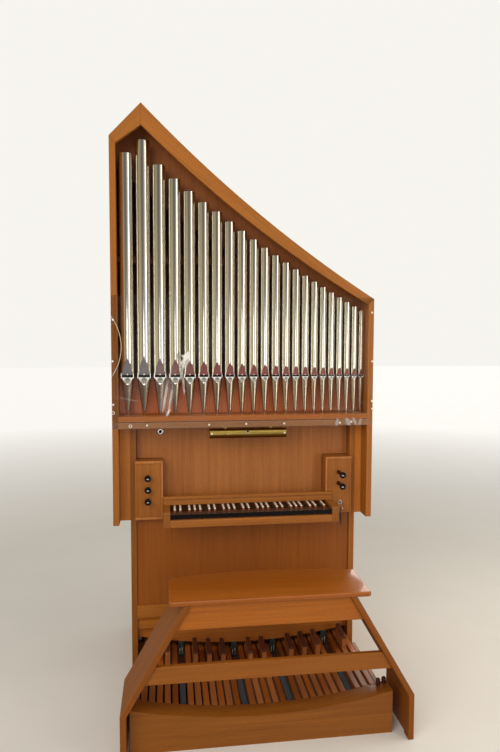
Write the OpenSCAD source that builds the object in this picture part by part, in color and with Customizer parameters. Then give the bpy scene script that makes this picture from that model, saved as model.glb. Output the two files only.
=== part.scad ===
// Small church organ with one manual, a pedalboard and a bench.
// X runs to the player's right, Y runs into the organ, Z runs up from the floor.
// The pieces are drawn with X = 0 in the middle of the case and Y = 0 at its front edges,
// and placed() then brings the middle of the whole footprint to the origin.

/* [Case] */
// Width that the infill boards leave beside the console
infill_w = 41; // [20:1:90]
// Depth of the case from its front edges to its back
case_depth = 700; // [620:1:800]
// Thickness of the case side boards
side_t = 28; // [24:1:29]
// Height of the left shoulder
left_h = 2625; // [2560:1:2700]
// Height of the peak
peak_h = 2778; // [2740:1:2900]
// Height of the right shoulder
right_h = 1899; // [1880:1:1960]
// Distance from the left side to the peak
peak_in = 145; // [120:1:180]
// Sag of the long roof slope below its chord
slope_sag = 42; // [20:1:70]
// Thickness of the roof boards
roof_t = 22; // [18:1:30]
// Thickness of the gable boards
gable_t = 25; // [18:1:32]
// Upright height of the gable boards at the peak
gable_peak = 99; // [80:1:120]
// Upright height of the left gable board at the shoulder
gable_left = 61; // [55:1:80]
// Upright height of the right gable board at the shoulder
gable_right = 44; // [36:1:55]
// Thickness of the back panels
back_t = 15; // [10:1:22]
// Height of the underside of the pipe compartment
floor_z = 1280; // [1250:1:1300]
// Thickness of the compartment floor
floor_t = 31; // [25:1:40]
// Height of the lower end of the case sides
wing_z = 817; // [790:1:840]

/* [Pipes] */
// Number of pipes in the front
pipe_count = 22; // [22:1:22]
// Outer diameter of the largest pipe
pipe_d = 68; // [60:1:70]
// Number of pipes over which the diameter halves
halving = 17; // [16:1:19]
// Speaking length of the longest pipe
pipe_l = 1124; // [1080:1:1150]
// Wall of the pipe tubes
pipe_wall = 1.2; // [0.8:0.1:2]
// Height of every pipe foot
foot_h = 174; // [150:1:190]
// Diameter of the foot tips
tip_d = 14; // [10:1:18]
// Ratio of each distance between pipes to the one before it
pitch_ratio = 0.9626; // [0.955:0.0001:0.975]
// Distance from the case front to the pipe axes
pipe_y = 62; // [60:1:80]
// Distance from the left side's inner face to the first pipe axis
pipe_first = 42.5; // [36:0.5:60]
// Distance from the last pipe axis to the right side's inner face
pipe_last = 16.5; // [15.5:0.5:24]
// Thickness of the board that the pipes stand on
toe_t = 25; // [20:1:32]
// Height of the panel behind the pipe feet
foot_panel_h = 178; // [150:1:200]
// Upright height of the panel behind the pipe tops at its bass end
top_panel_bass = 240; // [150:1:280]
// Upright height of the panel behind the pipe tops at its treble end
top_panel_treble = 118; // [90:1:150]
// Sag of the lower edge of that panel
top_panel_sag = 50; // [20:1:60]

/* [Guard] */
// Thickness of the clear sheet
guard_t = 5; // [3:1:8]
// Height of the clear sheet
guard_h = 623; // [560:1:640]

/* [Console] */
// Distance by which the console stands right of the case middle
console_x = 8; // [0:1:15]
// Room that the pedals leave inside the pedestal
ped_room = 65; // [50:1:100]
// Thickness of the pedestal sides
ped_t = 28; // [22:1:34]
// Distance from the case front back to the pedestal front
ped_y = 84; // [70:1:100]
// Distance from the pedestal front back to the desk panel
desk_in = 50; // [40:1:70]
// Thickness of the thin panels
panel_t = 15; // [12:1:20]
// Height of the lower edge of the keyboard frame
frame_z = 823; // [818:1:835]
// Height of the stop jambs
jamb_h = 288; // [270:1:310]
// Distance by which the jambs stand in front of the pedestal
jamb_out = 20; // [12:1:30]
// Wall of the stop jambs
jamb_wall = 18; // [14:1:22]

/* [Stops] */
// Diameter of the knob heads
knob_d = 32; // [28:1:36]
// Diameter of the knob stems
stem_d = 18; // [14:1:20]
// Radial play of the stems in their holes
stem_play = 0.4; // [0.3:0.1:0.8]
// Travel of a stop knob
stop_travel = 40; // [30:1:42]
// Distance a pushed-in knob stands in front of its jamb
knob_out = 36; // [32:1:50]
// Height of the upper stop knobs above the lower edge of the jambs
knob_up = 209; // [190:1:220]
// Distance between stop knobs
knob_pitch = 57; // [50:1:66]

/* [Keyboard] */
// Pitch of the natural keys
key_pitch = 23.5; // [22.5:0.1:23.6]
// Height of the natural key tops
key_z = 880; // [879:1:884]
// Thickness of the natural keys
key_t = 20; // [18:1:22]
// Gap between keys
key_gap = 0.8; // [0.6:0.1:1.2]
// Distance from the case front out to the natural key fronts
key_out = 68; // [60:1:80]
// Length of the natural heads in front of the sharps
head_l = 43; // [38:1:48]
// Height of the sharps above the naturals
sharp_h = 12; // [10:1:14]
// Width of the sharps
sharp_w = 9.5; // [9:0.1:10.5]
// Distance the keyboard stands right of the case middle
keys_x = 23; // [18:1:26]
// Width of the blocks beside the keys
cheek_w = 32; // [28:1:34]

/* [Pedalboard] */
// Pitch of the pedal slots
slot_pitch = 33.5; // [33:0.1:34.5]
// Width of a pedal key
pedal_w = 25; // [22:0.5:26]
// Height of a pedal key bar
pedal_t = 36; // [30:1:40]
// Height of the lowest pedal key top
pedal_z = 124; // [118:1:132]
// Radius of the hollow of the pedalboard
pedal_r = 2500; // [2400:1:2800]
// Distance the pedalboard stands right of the case middle
pedals_x = 25; // [20:1:28]
// Distance of the pedalboard's sides inside the faces of the pedestal
pedal_step = 3; // [2:0.5:10]
// Distance from the case front out to the heel rail's face
heel_out = 457; // [440:1:480]
// Depth of the heel rail
heel_d = 85; // [70:1:95]
// Thickness of the pedalboard's boards
pedal_board_t = 22; // [18:1:26]
// Height of the side boards of the pedalboard
pedal_side_h = 128; // [110:1:135]
// Height of the raised sharps above the pedal keys
pedal_sharp_h = 58; // [50:1:64]
// Length of the raised sharps
pedal_sharp_l = 122; // [100:1:140]

/* [Bench] */
// Distance the bench stands right of the case middle
bench_x = 44; // [35:1:50]
// Height of the seat top
seat_z = 660; // [630:1:690]
// Thickness of the seat
seat_t = 20; // [18:1:30]
// Distance that each end of the seat reaches past the bench sides
seat_end = 60; // [30:1:70]
// Depth of the seat at its ends
seat_d = 246; // [230:1:270]
// Bow of the rear edge of the seat
seat_bow = 48; // [20:1:60]
// Distance from the case front out to the front of the bench
bench_out = 516; // [505:1:540]
// Depth of the bench sides
bench_d = 276; // [250:1:290]
// Distance the seat stands in front of the bench sides
seat_over = 4; // [0:1:8]
// Thickness of the bench sides
bench_t = 24; // [22:1:32]
// Half width of the bench sides under the seat
bench_top = 358; // [340:1:370]
// Gap between the bench and the pedalboard where they are closest
bench_gap = 12; // [8:0.5:30]
// Height of the knee in the bench sides
bench_knee = 199; // [190:1:230]
// Thickness of the bench rails
rail_t = 22; // [18:1:28]

/* [Hidden] */
$fn = 64;

wood = "peru";
wood_dark = "sienna";
tin = "gainsboro";
black = [0.08, 0.07, 0.07];

// Clearance at a seat that carries a piece
seat_gap = 0.3;

// Widths, worked out from the pedals outwards
slots = 30;
ped_w = slots * slot_pitch + ped_room + 2 * ped_t;
case_w = ped_w + 2 * (infill_w + side_t);
pedals_w = ped_w - 2 * pedal_step;
bench_foot = pedals_w / 2 + abs(bench_x - pedals_x) + bench_gap + bench_t;
seat_l = 2 * (bench_top + seat_end);

// Case outline
xl = -case_w / 2;
xr = case_w / 2;
xli = xl + side_t;
xri = xr - side_t;
peak_x = xl + peak_in;
left_top = [xl, left_h];
peak = [peak_x, peak_h];
right_top = [xr, right_h];
slope_steps = 24;
back_y = case_depth - back_t;

// Upright position of the roof line over a place on the left slope
function left_line(x) = left_h + (peak_h - left_h) * (x - xl) / peak_in;

// Points along a chord that sags towards the lower left
function sag_curve(p, q, sag, n) = let (d = q - p, u = [d[1], -d[0]] / norm(d))
    [for (i = [0:n]) let (t = i / n) p + d * t + u * (4 * sag * t * (1 - t))];

function flip(points) = [for (i = [len(points) - 1:-1:0]) points[i]];

roof_line = sag_curve(peak, right_top, slope_sag, slope_steps);
left_slope = atan((peak_h - left_h) / peak_in);
roof_drop_left = roof_t / cos(left_slope);
right_slope = atan((peak_h - right_h) / (xr - peak_x));
roof_drop_right = roof_t / cos(right_slope);

// Upright position of the long roof line at the inner face of the right side
shoulder_slope = (roof_line[slope_steps - 1][1] - right_h) / (xr - roof_line[slope_steps - 1][0]);
right_line_in = right_h + side_t * shoulder_slope;
miter_left = [xli, left_line(xli) - gable_left];
miter_right = [xri, right_line_in - gable_right];
roof_end_right = [xri, right_line_in - roof_drop_right];
gable_in = sag_curve([peak_x, peak_h - gable_peak], miter_right, slope_sag, slope_steps);
roof_in = sag_curve([peak_x, peak_h - roof_drop_right], roof_end_right, slope_sag, slope_steps);

// A profile in X and Z, run along Y from y0 to y1
module along_y(y0, y1) {
    translate([0, y1, 0]) rotate([90, 0, 0]) linear_extrude(y1 - y0) children();
}

// A profile in Y and Z, run along X from x0 to x1
module along_x(x0, x1) {
    translate([x0, 0, 0]) rotate([90, 0, 90]) linear_extrude(x1 - x0) children();
}

// A board between two opposite corners
module board(a, b) {
    translate(a) cube(b - a);
}

// Brings the middle of the whole footprint to the origin
mid_x = (min(xl, bench_x - bench_foot) + max(xr, bench_x + bench_foot)) / 2;
mid_y = (case_depth - bench_out - seat_over) / 2;
module placed() {
    translate([-mid_x, -mid_y, 0]) children();
}

// Case

module case_side_left() {
    placed() color(wood) along_y(0, case_depth)
        polygon([[xl, wing_z], [xli, wing_z], miter_left, left_top]);
}

module case_side_right() {
    placed() color(wood) along_y(0, case_depth)
        polygon([[xr, wing_z], right_top, miter_right, [xri, wing_z]]);
}

module roof_left() {
    placed() color(wood) along_y(gable_t, case_depth)
        polygon([left_top, peak, [peak_x, peak_h - roof_drop_left],
            [xli, left_line(xli) - roof_drop_left], miter_left]);
}

module roof_right() {
    placed() color(wood) along_y(gable_t, case_depth)
        polygon(concat(roof_line, [miter_right], flip(roof_in)));
}

module gable_left_board() {
    placed() color(wood) along_y(0, gable_t)
        polygon([left_top, peak, [peak_x, peak_h - gable_peak], miter_left]);
}

module gable_right_board() {
    placed() color(wood) along_y(0, gable_t) polygon(concat(roof_line, flip(gable_in)));
}

module case_back() {
    placed() color(wood_dark) along_y(back_y, case_depth)
        polygon(concat([[xli, wing_z], [xli, left_line(xli) - roof_drop_left],
            [peak_x, peak_h - roof_drop_left]], roof_in, [[xri, wing_z]]));
}

module case_floor() {
    placed() color(wood_dark) board([xli, gable_t, floor_z], [xri, back_y, floor_z + floor_t]);
}

rail_gap = 3;

// Rail in front of the floor, which leaves a groove under the toe board
module bottom_rail() {
    placed() color(wood) board([xli, 0, floor_z], [xri, gable_t, floor_z + floor_t - rail_gap]);
}

toe_z = floor_z + floor_t;
toe_top = toe_z + toe_t;
toe_depth = 200;
module toe_board() {
    placed() color(wood) board([xli, 0, toe_z], [xri, toe_depth, toe_top]);
}

foot_panel_y = 130;
module foot_panel() {
    placed() color(wood_dark) board([xli, foot_panel_y, toe_top], [xri, foot_panel_y + panel_t, toe_top + foot_panel_h]);
}

// Pipes

mouth_z = toe_top + foot_h;
semitone = pow(2, -1 / 12);
pipe_span = xri - pipe_last - xli - pipe_first;
pitch_first = pipe_span * (1 - pitch_ratio) / (1 - pow(pitch_ratio, pipe_count - 1));

// Step of each pipe down the scale: the longest stands second, under the peak
function pipe_step(i) = i == 0 ? 1 : i == 1 ? 0 : i;
function pipe_x(i) = xli + pipe_first + pitch_first * (1 - pow(pitch_ratio, i)) / (1 - pitch_ratio);
function pipe_diameter(i) = pipe_d * pow(2, -pipe_step(i) / halving);
function pipe_length(i) = pipe_l * pow(semitone, pipe_step(i));

lip_h = 1.25;
lip_w = 0.76;
lip_dish = 0.34;
lower_lip_h = 0.42;
cut_up = 0.17;

// Pointed leaf of the upper lip, with the middle of its base at the origin
leaf_arc = 2.66;
module leaf(w, h) {
    intersection() {
        translate([-w / 2, 0]) square([w, h]);
        translate([w * (leaf_arc - 0.5), 0]) circle(r = w * leaf_arc);
        translate([-w * (leaf_arc - 0.5), 0]) circle(r = w * leaf_arc);
    }
}

ear_t = 1.4;
ear_gap = 0.6;
lip_lap = 0.5;

// One open metal pipe with its foot tip at the origin
module organ_pipe(d, l) {
    r = d / 2;
    w = lip_w * d;
    h = lip_h * d;
    dish = lip_dish * r;
    low = lower_lip_h * d;
    up = cut_up * d;
    slot = w - 2 * ear_gap;
    difference() {
        union() {
            cylinder(h = foot_h, r1 = tip_d / 2, r2 = r);
            translate([0, 0, foot_h]) cylinder(h = l, r = r);
        }
        translate([0, 0, foot_h + up + h]) cylinder(h = l, r = r - pipe_wall);
        intersection() {
            translate([0, 0, foot_h + up - lip_lap]) rotate([90, 0, 0]) linear_extrude(2 * r) leaf(w, h);
            along_x(-r, r)
                polygon([[-r + dish, foot_h], [-r + dish, foot_h + up], [-r - 0.1 * dish, foot_h + up + h],
                    [-2 * r, foot_h + up + h], [-2 * r, foot_h]]);
        }
        along_x(-2 * r, 2 * r)
            polygon([[-r + dish, foot_h + lip_lap], [-2 * r, foot_h + lip_lap], [-2 * r, foot_h - low],
                [-r, foot_h - low], [-r + dish, foot_h - lip_lap]]);
        translate([-slot / 2, -2 * r, foot_h - lip_lap]) cube([slot, 1.6 * r, up]);
    }
    for (s = [-1, 1])
        translate([s * (w / 2 + ear_gap + ear_t / 2) - ear_t / 2, -r, foot_h - up / 2])
            cube([ear_t, r * 0.45, up * 2.6]);
}

module pipe_run(first, last) {
    placed() color(tin) for (i = [first:last])
        translate([pipe_x(i), pipe_y, toe_top]) organ_pipe(pipe_diameter(i), pipe_length(i));
}

module pipes_bass() { pipe_run(0, 6); }
module pipes_tenor() { pipe_run(7, 13); }
module pipes_treble() { pipe_run(14, pipe_count - 1); }

rack_y = pipe_y + pipe_d / 2 + 3;

// Panel behind the pipe tops, which follows the roof
module top_panel() {
    low = sag_curve([xli, peak_h - roof_drop_right - top_panel_bass], [xri, roof_end_right[1] - top_panel_treble],
        top_panel_sag, slope_steps);
    placed() color(wood_dark) along_y(rack_y + rack_t, rack_y + rack_t + panel_t)
        polygon(concat([[xli, left_line(xli) - roof_drop_left], [peak_x, peak_h - roof_drop_left]], roof_in, flip(low)));
}

// Rails behind the pipes, the post between them and the pins that hold the pipes
rack_split = 8;
rack_t = 20;
rack_h = 30;
rack_high = toe_top + 728;
rack_low = toe_top + 402;
rack_post_w = 76;
pin_d = 5;
function rack_z(i) = i <= rack_split ? rack_high : rack_low;
module pipe_rack() {
    post_l = pipe_x(rack_split) - rack_post_w / 2;
    post_r = post_l + rack_post_w;
    rail_r = (pipe_x(rack_split) + pipe_x(rack_split + 1)) / 2;
    placed() color(wood_dark) {
        board([xli, rack_y, rack_high], [post_r, rack_y + rack_t, rack_high + rack_h]);
        board([rail_r, rack_y, rack_low], [xri, rack_y + rack_t, rack_low + rack_h]);
        board([post_l, rack_y, rack_low + rack_h + seat_gap], [post_r, rack_y + rack_t, rack_high - seat_gap]);
        for (i = [0:pipe_count - 1])
            translate([pipe_x(i), pipe_y + pipe_diameter(i) / 2 + seat_gap, rack_z(i) + rack_h / 2])
                rotate([-90, 0, 0]) cylinder(h = rack_y - pipe_y - pipe_diameter(i) / 2, d = pin_d);
    }
}

// Guard

module guard_sheet() {
    placed() color([0.8, 0.88, 0.9, 0.35]) along_y(-guard_t, 0)
        intersection() {
            translate([xl, floor_z]) square([case_w, guard_h]);
            polygon(concat([[xl, floor_z], left_top], roof_line, [[xr, floor_z]]));
        }
}

plate_w = 47;
plate_z = floor_z + 244;
plate_h = 285;
plate_t = 3;
plate_arc = (plate_h * plate_h / 4 + plate_w * plate_w) / (2 * plate_w);

// Small plate with a bowed edge, screwed over the left edge of the sheet
module guard_plate() {
    placed() color([0.8, 0.88, 0.9, 0.35]) along_y(-guard_t - plate_t, -guard_t)
        intersection() {
            translate([xl, plate_z]) square([plate_w, plate_h]);
            translate([xl + plate_w - plate_arc, plate_z + plate_h / 2]) circle(r = plate_arc);
        }
}

// Console

pl = console_x - ped_w / 2;
pr = console_x + ped_w / 2;
pli = pl + ped_t;
pri = pr - ped_t;
desk_y = ped_y + desk_in;
infill_t = 16;

// Infill board beside the console, with the soffit that closes the case behind it
module infill(x0, x1) {
    placed() color(wood) {
        board([x0, ped_y, wing_z], [x1, ped_y + infill_t, floor_z]);
        board([x0, ped_y + infill_t + seat_gap, wing_z], [x1, back_y, wing_z + infill_t]);
    }
}

module infill_left() { infill(xli, pl); }
module infill_right() { infill(pr, xri); }

module desk_panel() {
    placed() color(wood) difference() {
        board([pli, desk_y, frame_z], [pri, desk_y + panel_t, floor_z]);
        translate([ring_x, desk_y - 1, ring_z]) rotate([-90, 0, 0]) cylinder(h = panel_t + 2, d = ring_bore);
    }
}

jamb_y = ped_y - jamb_out;
jamb_top = frame_z + jamb_h;
jamb_lip = 5;
jamb_gap = 2;
knob_z = frame_z + knob_up;
knob_left_x = pli + 57;
knob_right_x = pri - 61;
lock_x = pri - 54;
lock_z = frame_z + 55;
lock_d = 23;
hole_d = stem_d + 2 * stem_play;

module stop_holes(x, count) {
    for (i = [0:count - 1])
        translate([x, jamb_y - 1, knob_z - i * knob_pitch]) rotate([-90, 0, 0]) cylinder(h = jamb_wall + 2, d = hole_d);
}

// Hollow box with a sunk field in its face, open at the back
module jamb(x0, x1, lap0, lap1) {
    field = 9;
    sunk = 3;
    difference() {
        union() {
            board([x0, jamb_y, frame_z], [x1, desk_y, jamb_top]);
            board([x0 - lap0, jamb_y, frame_z], [x1 + lap1, ped_y, jamb_top]);
        }
        board([x0 + jamb_wall, jamb_y + jamb_wall, frame_z + jamb_wall],
            [x1 - jamb_wall, desk_y + 1, jamb_top - jamb_wall]);
        board([x0 - lap0 + field, jamb_y - 1, frame_z + field],
            [x1 + lap1 - field, jamb_y + sunk, jamb_top - field]);
    }
}

module jamb_left() {
    placed() color(wood) difference() {
        jamb(pli, keys_l - cheek_w - jamb_gap, jamb_lip, 0);
        stop_holes(knob_left_x, 3);
    }
}

module jamb_right() {
    placed() color(wood) difference() {
        jamb(keys_r + jamb_gap, pri, 0, jamb_lip);
        stop_holes(knob_right_x, 2);
        translate([lock_x, jamb_y - 1, lock_z]) rotate([-90, 0, 0]) cylinder(h = jamb_wall + 2, d = lock_bore);
    }
}

// Turned knob and stem on the Y axis, with its front face at the origin
module stop_knob() {
    reach = knob_out + jamb_wall + stop_travel + 6;
    head = 15;
    r = knob_d / 2;
    s = stem_d / 2;
    color(black) rotate([-90, 0, 0]) rotate_extrude()
        polygon(concat(
            [[0, 1.2], [r * 0.5, 1.2], [r * 0.56, 0], [r * 0.78, 0]],
            [for (a = [0:15:90]) [r * 0.8 + r * 0.2 * sin(a), 3.2 - 3.2 * cos(a)]],
            [[r, 6], [r * 0.93, 9.5], [s + 1.8, head], [s, head + 5], [s, reach], [0, reach]]));
}

module stop_at(x, i, drawn) {
    placed() translate([x, jamb_y - knob_out - drawn, knob_z - i * knob_pitch]) stop_knob();
}

// The left stops are pushed in and the right ones are drawn
module stop_left_1() { stop_at(knob_left_x, 0, 0); }
module stop_left_2() { stop_at(knob_left_x, 1, 0); }
module stop_left_3() { stop_at(knob_left_x, 2, 0); }
module stop_right_1() { stop_at(knob_right_x, 0, stop_travel); }
module stop_right_2() { stop_at(knob_right_x, 1, stop_travel); }

lock_bore = 16;
lock_sunk = 3;
slot_w = 2.6;
slot_h = 9;
module jamb_lock() {
    placed() color("silver") translate([lock_x, jamb_y + lock_sunk, lock_z]) rotate([90, 0, 0]) difference() {
        union() {
            translate([0, 0, -jamb_wall + lock_sunk]) cylinder(h = jamb_wall, d = lock_bore);
            cylinder(h = 2, d = lock_d);
            cylinder(h = 5, d = lock_d - 5);
        }
        translate([-slot_w / 2, -slot_h / 2, -jamb_wall]) cube([slot_w, slot_h, jamb_wall + 6]);
    }
}

key_play = 0.3;
module lock_key() {
    placed() color("silver") translate([lock_x, jamb_y + lock_sunk, lock_z]) along_x(-slot_w / 2 + key_play, slot_w / 2 - key_play)
        difference() {
            union() {
                translate([-14, -slot_h / 2 + key_play]) square([22, slot_h - 2 * key_play]);
                translate([-22, 0]) circle(d = 20);
            }
            translate([-26, 0]) circle(d = 5);
        }
}

// Keyboard

naturals = 33;
keys_w = naturals * key_pitch;
keys_l = keys_x - keys_w / 2;
keys_r = keys_x + keys_w / 2;
key_front = -key_out;
key_back = desk_y - 6;
sharp_front = key_front + head_l;
lever_w = 11;
lever_gap = 1;
lever_drop = 1;
bed_top = frame_z + 25;
rest_d = 26;
front_rest_in = 8;
back_rest_y = jamb_y + 10;
key_base = key_z - key_t;
cap_t = 3;
cap_slope = 3.5;
name_t = 16;
name_y = jamb_y - name_t;
name_gap = 3;
name_z = key_z + sharp_h + name_gap;
name_h = 41;
cheek_z = name_z;
slip_t = 12;
slip_front = key_front - slip_t - 2;

// Offsets of the sharps from the line between their naturals, C sharp first
sharp_notes = [[0, -1.6], [1, 1.6], [3, -2.2], [4, 0], [5, 2.2]];
sharp_places = [for (o = [0:4]) for (s = sharp_notes) if (o * 7 + s[0] < naturals - 1)
    [o * 7 + s[0], keys_l + (o * 7 + s[0] + 1) * key_pitch + s[1]]];

// Half of the slot that a sharp's lever takes out of the naturals
lever_half = lever_w / 2 + lever_gap;
function sharp_above(k) = [for (s = sharp_places) if (s[0] == k) s[1]];

// Plan of one natural, with its rear narrowed beside each sharp
module natural_plan(k) {
    x0 = keys_l + k * key_pitch + key_gap / 2;
    x1 = x0 + key_pitch - key_gap;
    right = sharp_above(k);
    left = sharp_above(k - 1);
    xa = len(left) > 0 ? left[0] + lever_half : x0;
    xb = len(right) > 0 ? right[0] - lever_half : x1;
    notch = sharp_front - lever_gap;
    polygon([[x0, key_front], [x1, key_front], [x1, notch], [xb, notch], [xb, key_back], [xa, key_back],
        [xa, notch], [x0, notch]]);
}

module manual_naturals() {
    placed() color(black) for (k = [0:naturals - 1])
        translate([0, 0, key_base]) linear_extrude(key_t) natural_plan(k);
}

module manual_sharps() {
    top = key_z + sharp_h - cap_t;
    placed() color("saddlebrown") for (s = sharp_places) {
        along_x(s[1] - lever_w / 2, s[1] + lever_w / 2)
            polygon([[sharp_front, key_base], [sharp_front, key_z - lever_drop], [key_back, key_z - lever_drop],
                [key_back, key_base]]);
        along_x(s[1] - sharp_w / 2, s[1] + sharp_w / 2)
            polygon([[sharp_front, key_z - lever_drop], [sharp_front + cap_slope, top], [name_y + name_t, top],
                [name_y + name_t, key_z - lever_drop]]);
    }
}

module sharp_caps() {
    top = key_z + sharp_h;
    placed() color("ivory") for (s = sharp_places)
        along_x(s[1] - sharp_w / 2, s[1] + sharp_w / 2)
            polygon([[sharp_front + cap_slope, top - cap_t], [sharp_front + cap_slope * 1.5, top], [name_y + name_t, top],
                [name_y + name_t, top - cap_t]]);
}

// Board under the keys with the two rails that they rest on
module key_bed() {
    placed() color(wood_dark) {
        board([keys_l, slip_front + slip_t, frame_z], [keys_r, desk_y, bed_top]);
        board([keys_l, key_front + front_rest_in, bed_top], [keys_r, key_front + front_rest_in + rest_d, key_base]);
        board([keys_l, back_rest_y, bed_top], [keys_r, back_rest_y + rest_d, key_base]);
    }
}

edge_cut = 3;
slip_drop = 3;
module key_slip() {
    top = key_base - slip_drop;
    placed() color(wood) along_x(keys_l, keys_r)
        polygon([[slip_front, frame_z], [slip_front + slip_t, frame_z], [slip_front + slip_t, top],
            [slip_front + edge_cut, top], [slip_front, top - edge_cut]]);
}

module key_cheeks() {
    placed() color(wood) for (x = [keys_l - cheek_w, keys_r])
        along_x(x, x + cheek_w)
            polygon([[slip_front, frame_z], [jamb_y, frame_z], [jamb_y, cheek_z], [slip_front + 2 * edge_cut, cheek_z],
                [slip_front, cheek_z - 2 * edge_cut]]);
}

module name_rail() {
    half = name_h / 2;
    groove = 2;
    placed() color(wood) along_x(keys_l - cheek_w, keys_r + cheek_w)
        polygon([[name_y, name_z], [name_y + name_t, name_z], [name_y + name_t, name_z + name_h],
            [name_y + groove, name_z + name_h], [name_y, name_z + name_h - groove], [name_y, name_z + half + groove],
            [name_y + groove, name_z + half], [name_y, name_z + half - groove]]);
}

// Reading lamp and cable ring

lamp_l = 372;
lamp_r = 24;
lamp_x = console_x + 5;
lamp_y = ped_y - 58;
lamp_z = floor_z - lamp_r - 11;
lamp_wall = 1.5;
module lamp_shade() {
    placed() color("goldenrod") translate([lamp_x, lamp_y, lamp_z]) difference() {
        along_x(-lamp_l / 2, lamp_l / 2) circle(r = lamp_r);
        along_x(-lamp_l / 2 + lamp_wall, lamp_l / 2 - lamp_wall) circle(r = lamp_r - lamp_wall);
        translate([-lamp_l / 2 + lamp_wall, -lamp_r * 0.55, -lamp_r - 1])
            cube([lamp_l - 2 * lamp_wall, lamp_r * 1.3, lamp_r]);
    }
}

bracket_w = 26;
module lamp_bracket() {
    stem = 10;
    base_t = 4;
    placed() color("goldenrod") for (s = [-1, 1]) translate([lamp_x + s * lamp_l * 0.3, lamp_y, 0]) {
        board([-bracket_w / 2, -12, floor_z - base_t], [bracket_w / 2, 12, floor_z]);
        translate([0, 0, lamp_z + lamp_r + seat_gap]) cylinder(h = floor_z - lamp_z - lamp_r - base_t, d = stem);
    }
}

ring_x = pli + 117;
ring_z = floor_z - 36;
ring_d = 27;
ring_bore = 17;
ring_t = 4;
module cable_ring() {
    placed() color("silver") translate([ring_x, desk_y - ring_t, ring_z]) rotate([-90, 0, 0]) difference() {
        union() {
            cylinder(h = ring_t, d = ring_d);
            cylinder(h = ring_t + panel_t, d = ring_bore);
        }
        translate([0, 0, -1]) cylinder(h = ring_t + panel_t + 2, d = ring_bore - 3);
    }
}

// Pedestal

rail_z = 262;
rail_top = 386;
rail_d = 34;
slope_low = rail_z + 42;
slope_high = rail_z + 64;
slope_in = 12;
module pedestal_side(x0, x1) {
    placed() color(wood) board([x0, ped_y, 0], [x1, back_y, floor_z]);
}

module pedestal_left() { pedestal_side(pl, pli); }
module pedestal_right() { pedestal_side(pri, pr); }

panel_in = 8;
module pedestal_panel() {
    placed() color(wood) board([pli, ped_y + panel_in, rail_top], [pri, ped_y + panel_in + panel_t, frame_z]);
}

// Rail under the panel, with a sloping step down to its thinner lower part
module pedestal_rail() {
    placed() color(wood) along_x(pli, pri)
        polygon([[ped_y, rail_top], [ped_y, slope_high], [ped_y + slope_in, slope_low], [ped_y + slope_in, rail_z],
            [ped_y + rail_d, rail_z], [ped_y + rail_d, rail_top]]);
}

module pedestal_back() {
    placed() color(wood_dark) board([pl, back_y, 0], [pr, case_depth, wing_z]);
}

// Pedalboard

slots_off = 4;
slot_l = pedals_x - slots_off - slots / 2 * slot_pitch;
pedal_l = pedals_x - pedals_w / 2;
pedal_rt = pedals_x + pedals_w / 2;
heel_y = -heel_out;
pedal_front = heel_y + heel_d;
pedal_back = 300;
open_slots = [5, 13, 19, 27];
function slot_x(i) = slot_l + i * slot_pitch;
function hollow_z(x) = pedal_z + pow(x - pedals_x, 2) / (2 * pedal_r);
function slot_z(i) = hollow_z(slot_x(i));
natural_slots = [for (i = [0:2:slots]) i];
sharp_slots = [for (i = [1:2:slots - 1]) if (len(search(i, open_slots)) == 0) i];

// Board with a hollow top edge, in X and Z, lowered by drop
module hollow_edge(x0, x1, z0, lower) {
    difference() {
        translate([x0, z0]) square([x1 - x0, 2 * pedal_z]);
        translate([pedals_x, pedal_z - lower + pedal_r]) circle(r = pedal_r, $fn = 360);
    }
}

module heel_rail() {
    placed() color(wood) difference() {
        along_y(heel_y, pedal_front) hollow_edge(pedal_l, pedal_rt, 0, 0);
        for (x = peg_places)
            translate([x, peg_y, peg_z(x)]) cylinder(h = peg_h, r = peg_d / 2 + seat_gap);
    }
}

module pedal_sides() {
    placed() color(wood) for (x = [pedal_l, pedal_rt - pedal_board_t])
        board([x, pedal_front, 0], [x + pedal_board_t, ped_y, pedal_side_h]);
}

// Beam with one level seat for each pedal key
module pedal_beam(y0, y1, x0, x1) {
    half = slot_pitch / 2;
    ends = [for (i = [0:slots]) for (s = [-1, 1]) [slot_x(i) + s * half, slot_z(i) - pedal_t]];
    along_y(y0, y1) polygon(concat([[x0, 0], [x0, ends[0][1]]], ends,
        [[x1, ends[len(ends) - 1][1]], [x1, 0]]));
}

beam_d = 30;
beam_rear = 200;
module pedal_beams() {
    placed() color(wood_dark) {
        pedal_beam(pedal_front + 20, pedal_front + 20 + beam_d, pedal_l + pedal_board_t, pedal_rt - pedal_board_t);
        pedal_beam(beam_rear, beam_rear + beam_d, pli, pri);
    }
}

module pedal_bar(i) {
    board([slot_x(i) - pedal_w / 2, pedal_front + 1, slot_z(i) - pedal_t],
        [slot_x(i) + pedal_w / 2, pedal_back, slot_z(i)]);
}

module pedal_naturals() {
    placed() color("chocolate") for (i = natural_slots) pedal_bar(i);
}

sharp_y = -45;
sharp_rise = 14;
pedal_cap_t = 9;
sharp_half = pedal_w / 2 - 1.5;
module pedal_sharps() {
    placed() color(wood_dark) for (i = sharp_slots) {
        z = slot_z(i);
        top = z + pedal_sharp_h - pedal_cap_t;
        pedal_bar(i);
        along_x(slot_x(i) - sharp_half, slot_x(i) + sharp_half)
            polygon([[sharp_y, z - 1], [sharp_y, top], [sharp_y + pedal_sharp_l, top + sharp_rise],
                [sharp_y + pedal_sharp_l, z - 1]]);
    }
}

module pedal_caps() {
    placed() color([0.25, 0.1, 0.08]) for (i = sharp_slots) {
        z = slot_z(i) + pedal_sharp_h;
        along_x(slot_x(i) - sharp_half, slot_x(i) + sharp_half)
            polygon([[sharp_y, z - pedal_cap_t], [sharp_y + 3, z - 2], [sharp_y + 8, z],
                [sharp_y + pedal_sharp_l, z + sharp_rise],
                [sharp_y + pedal_sharp_l, z + sharp_rise - pedal_cap_t]]);
    }
}

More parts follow.
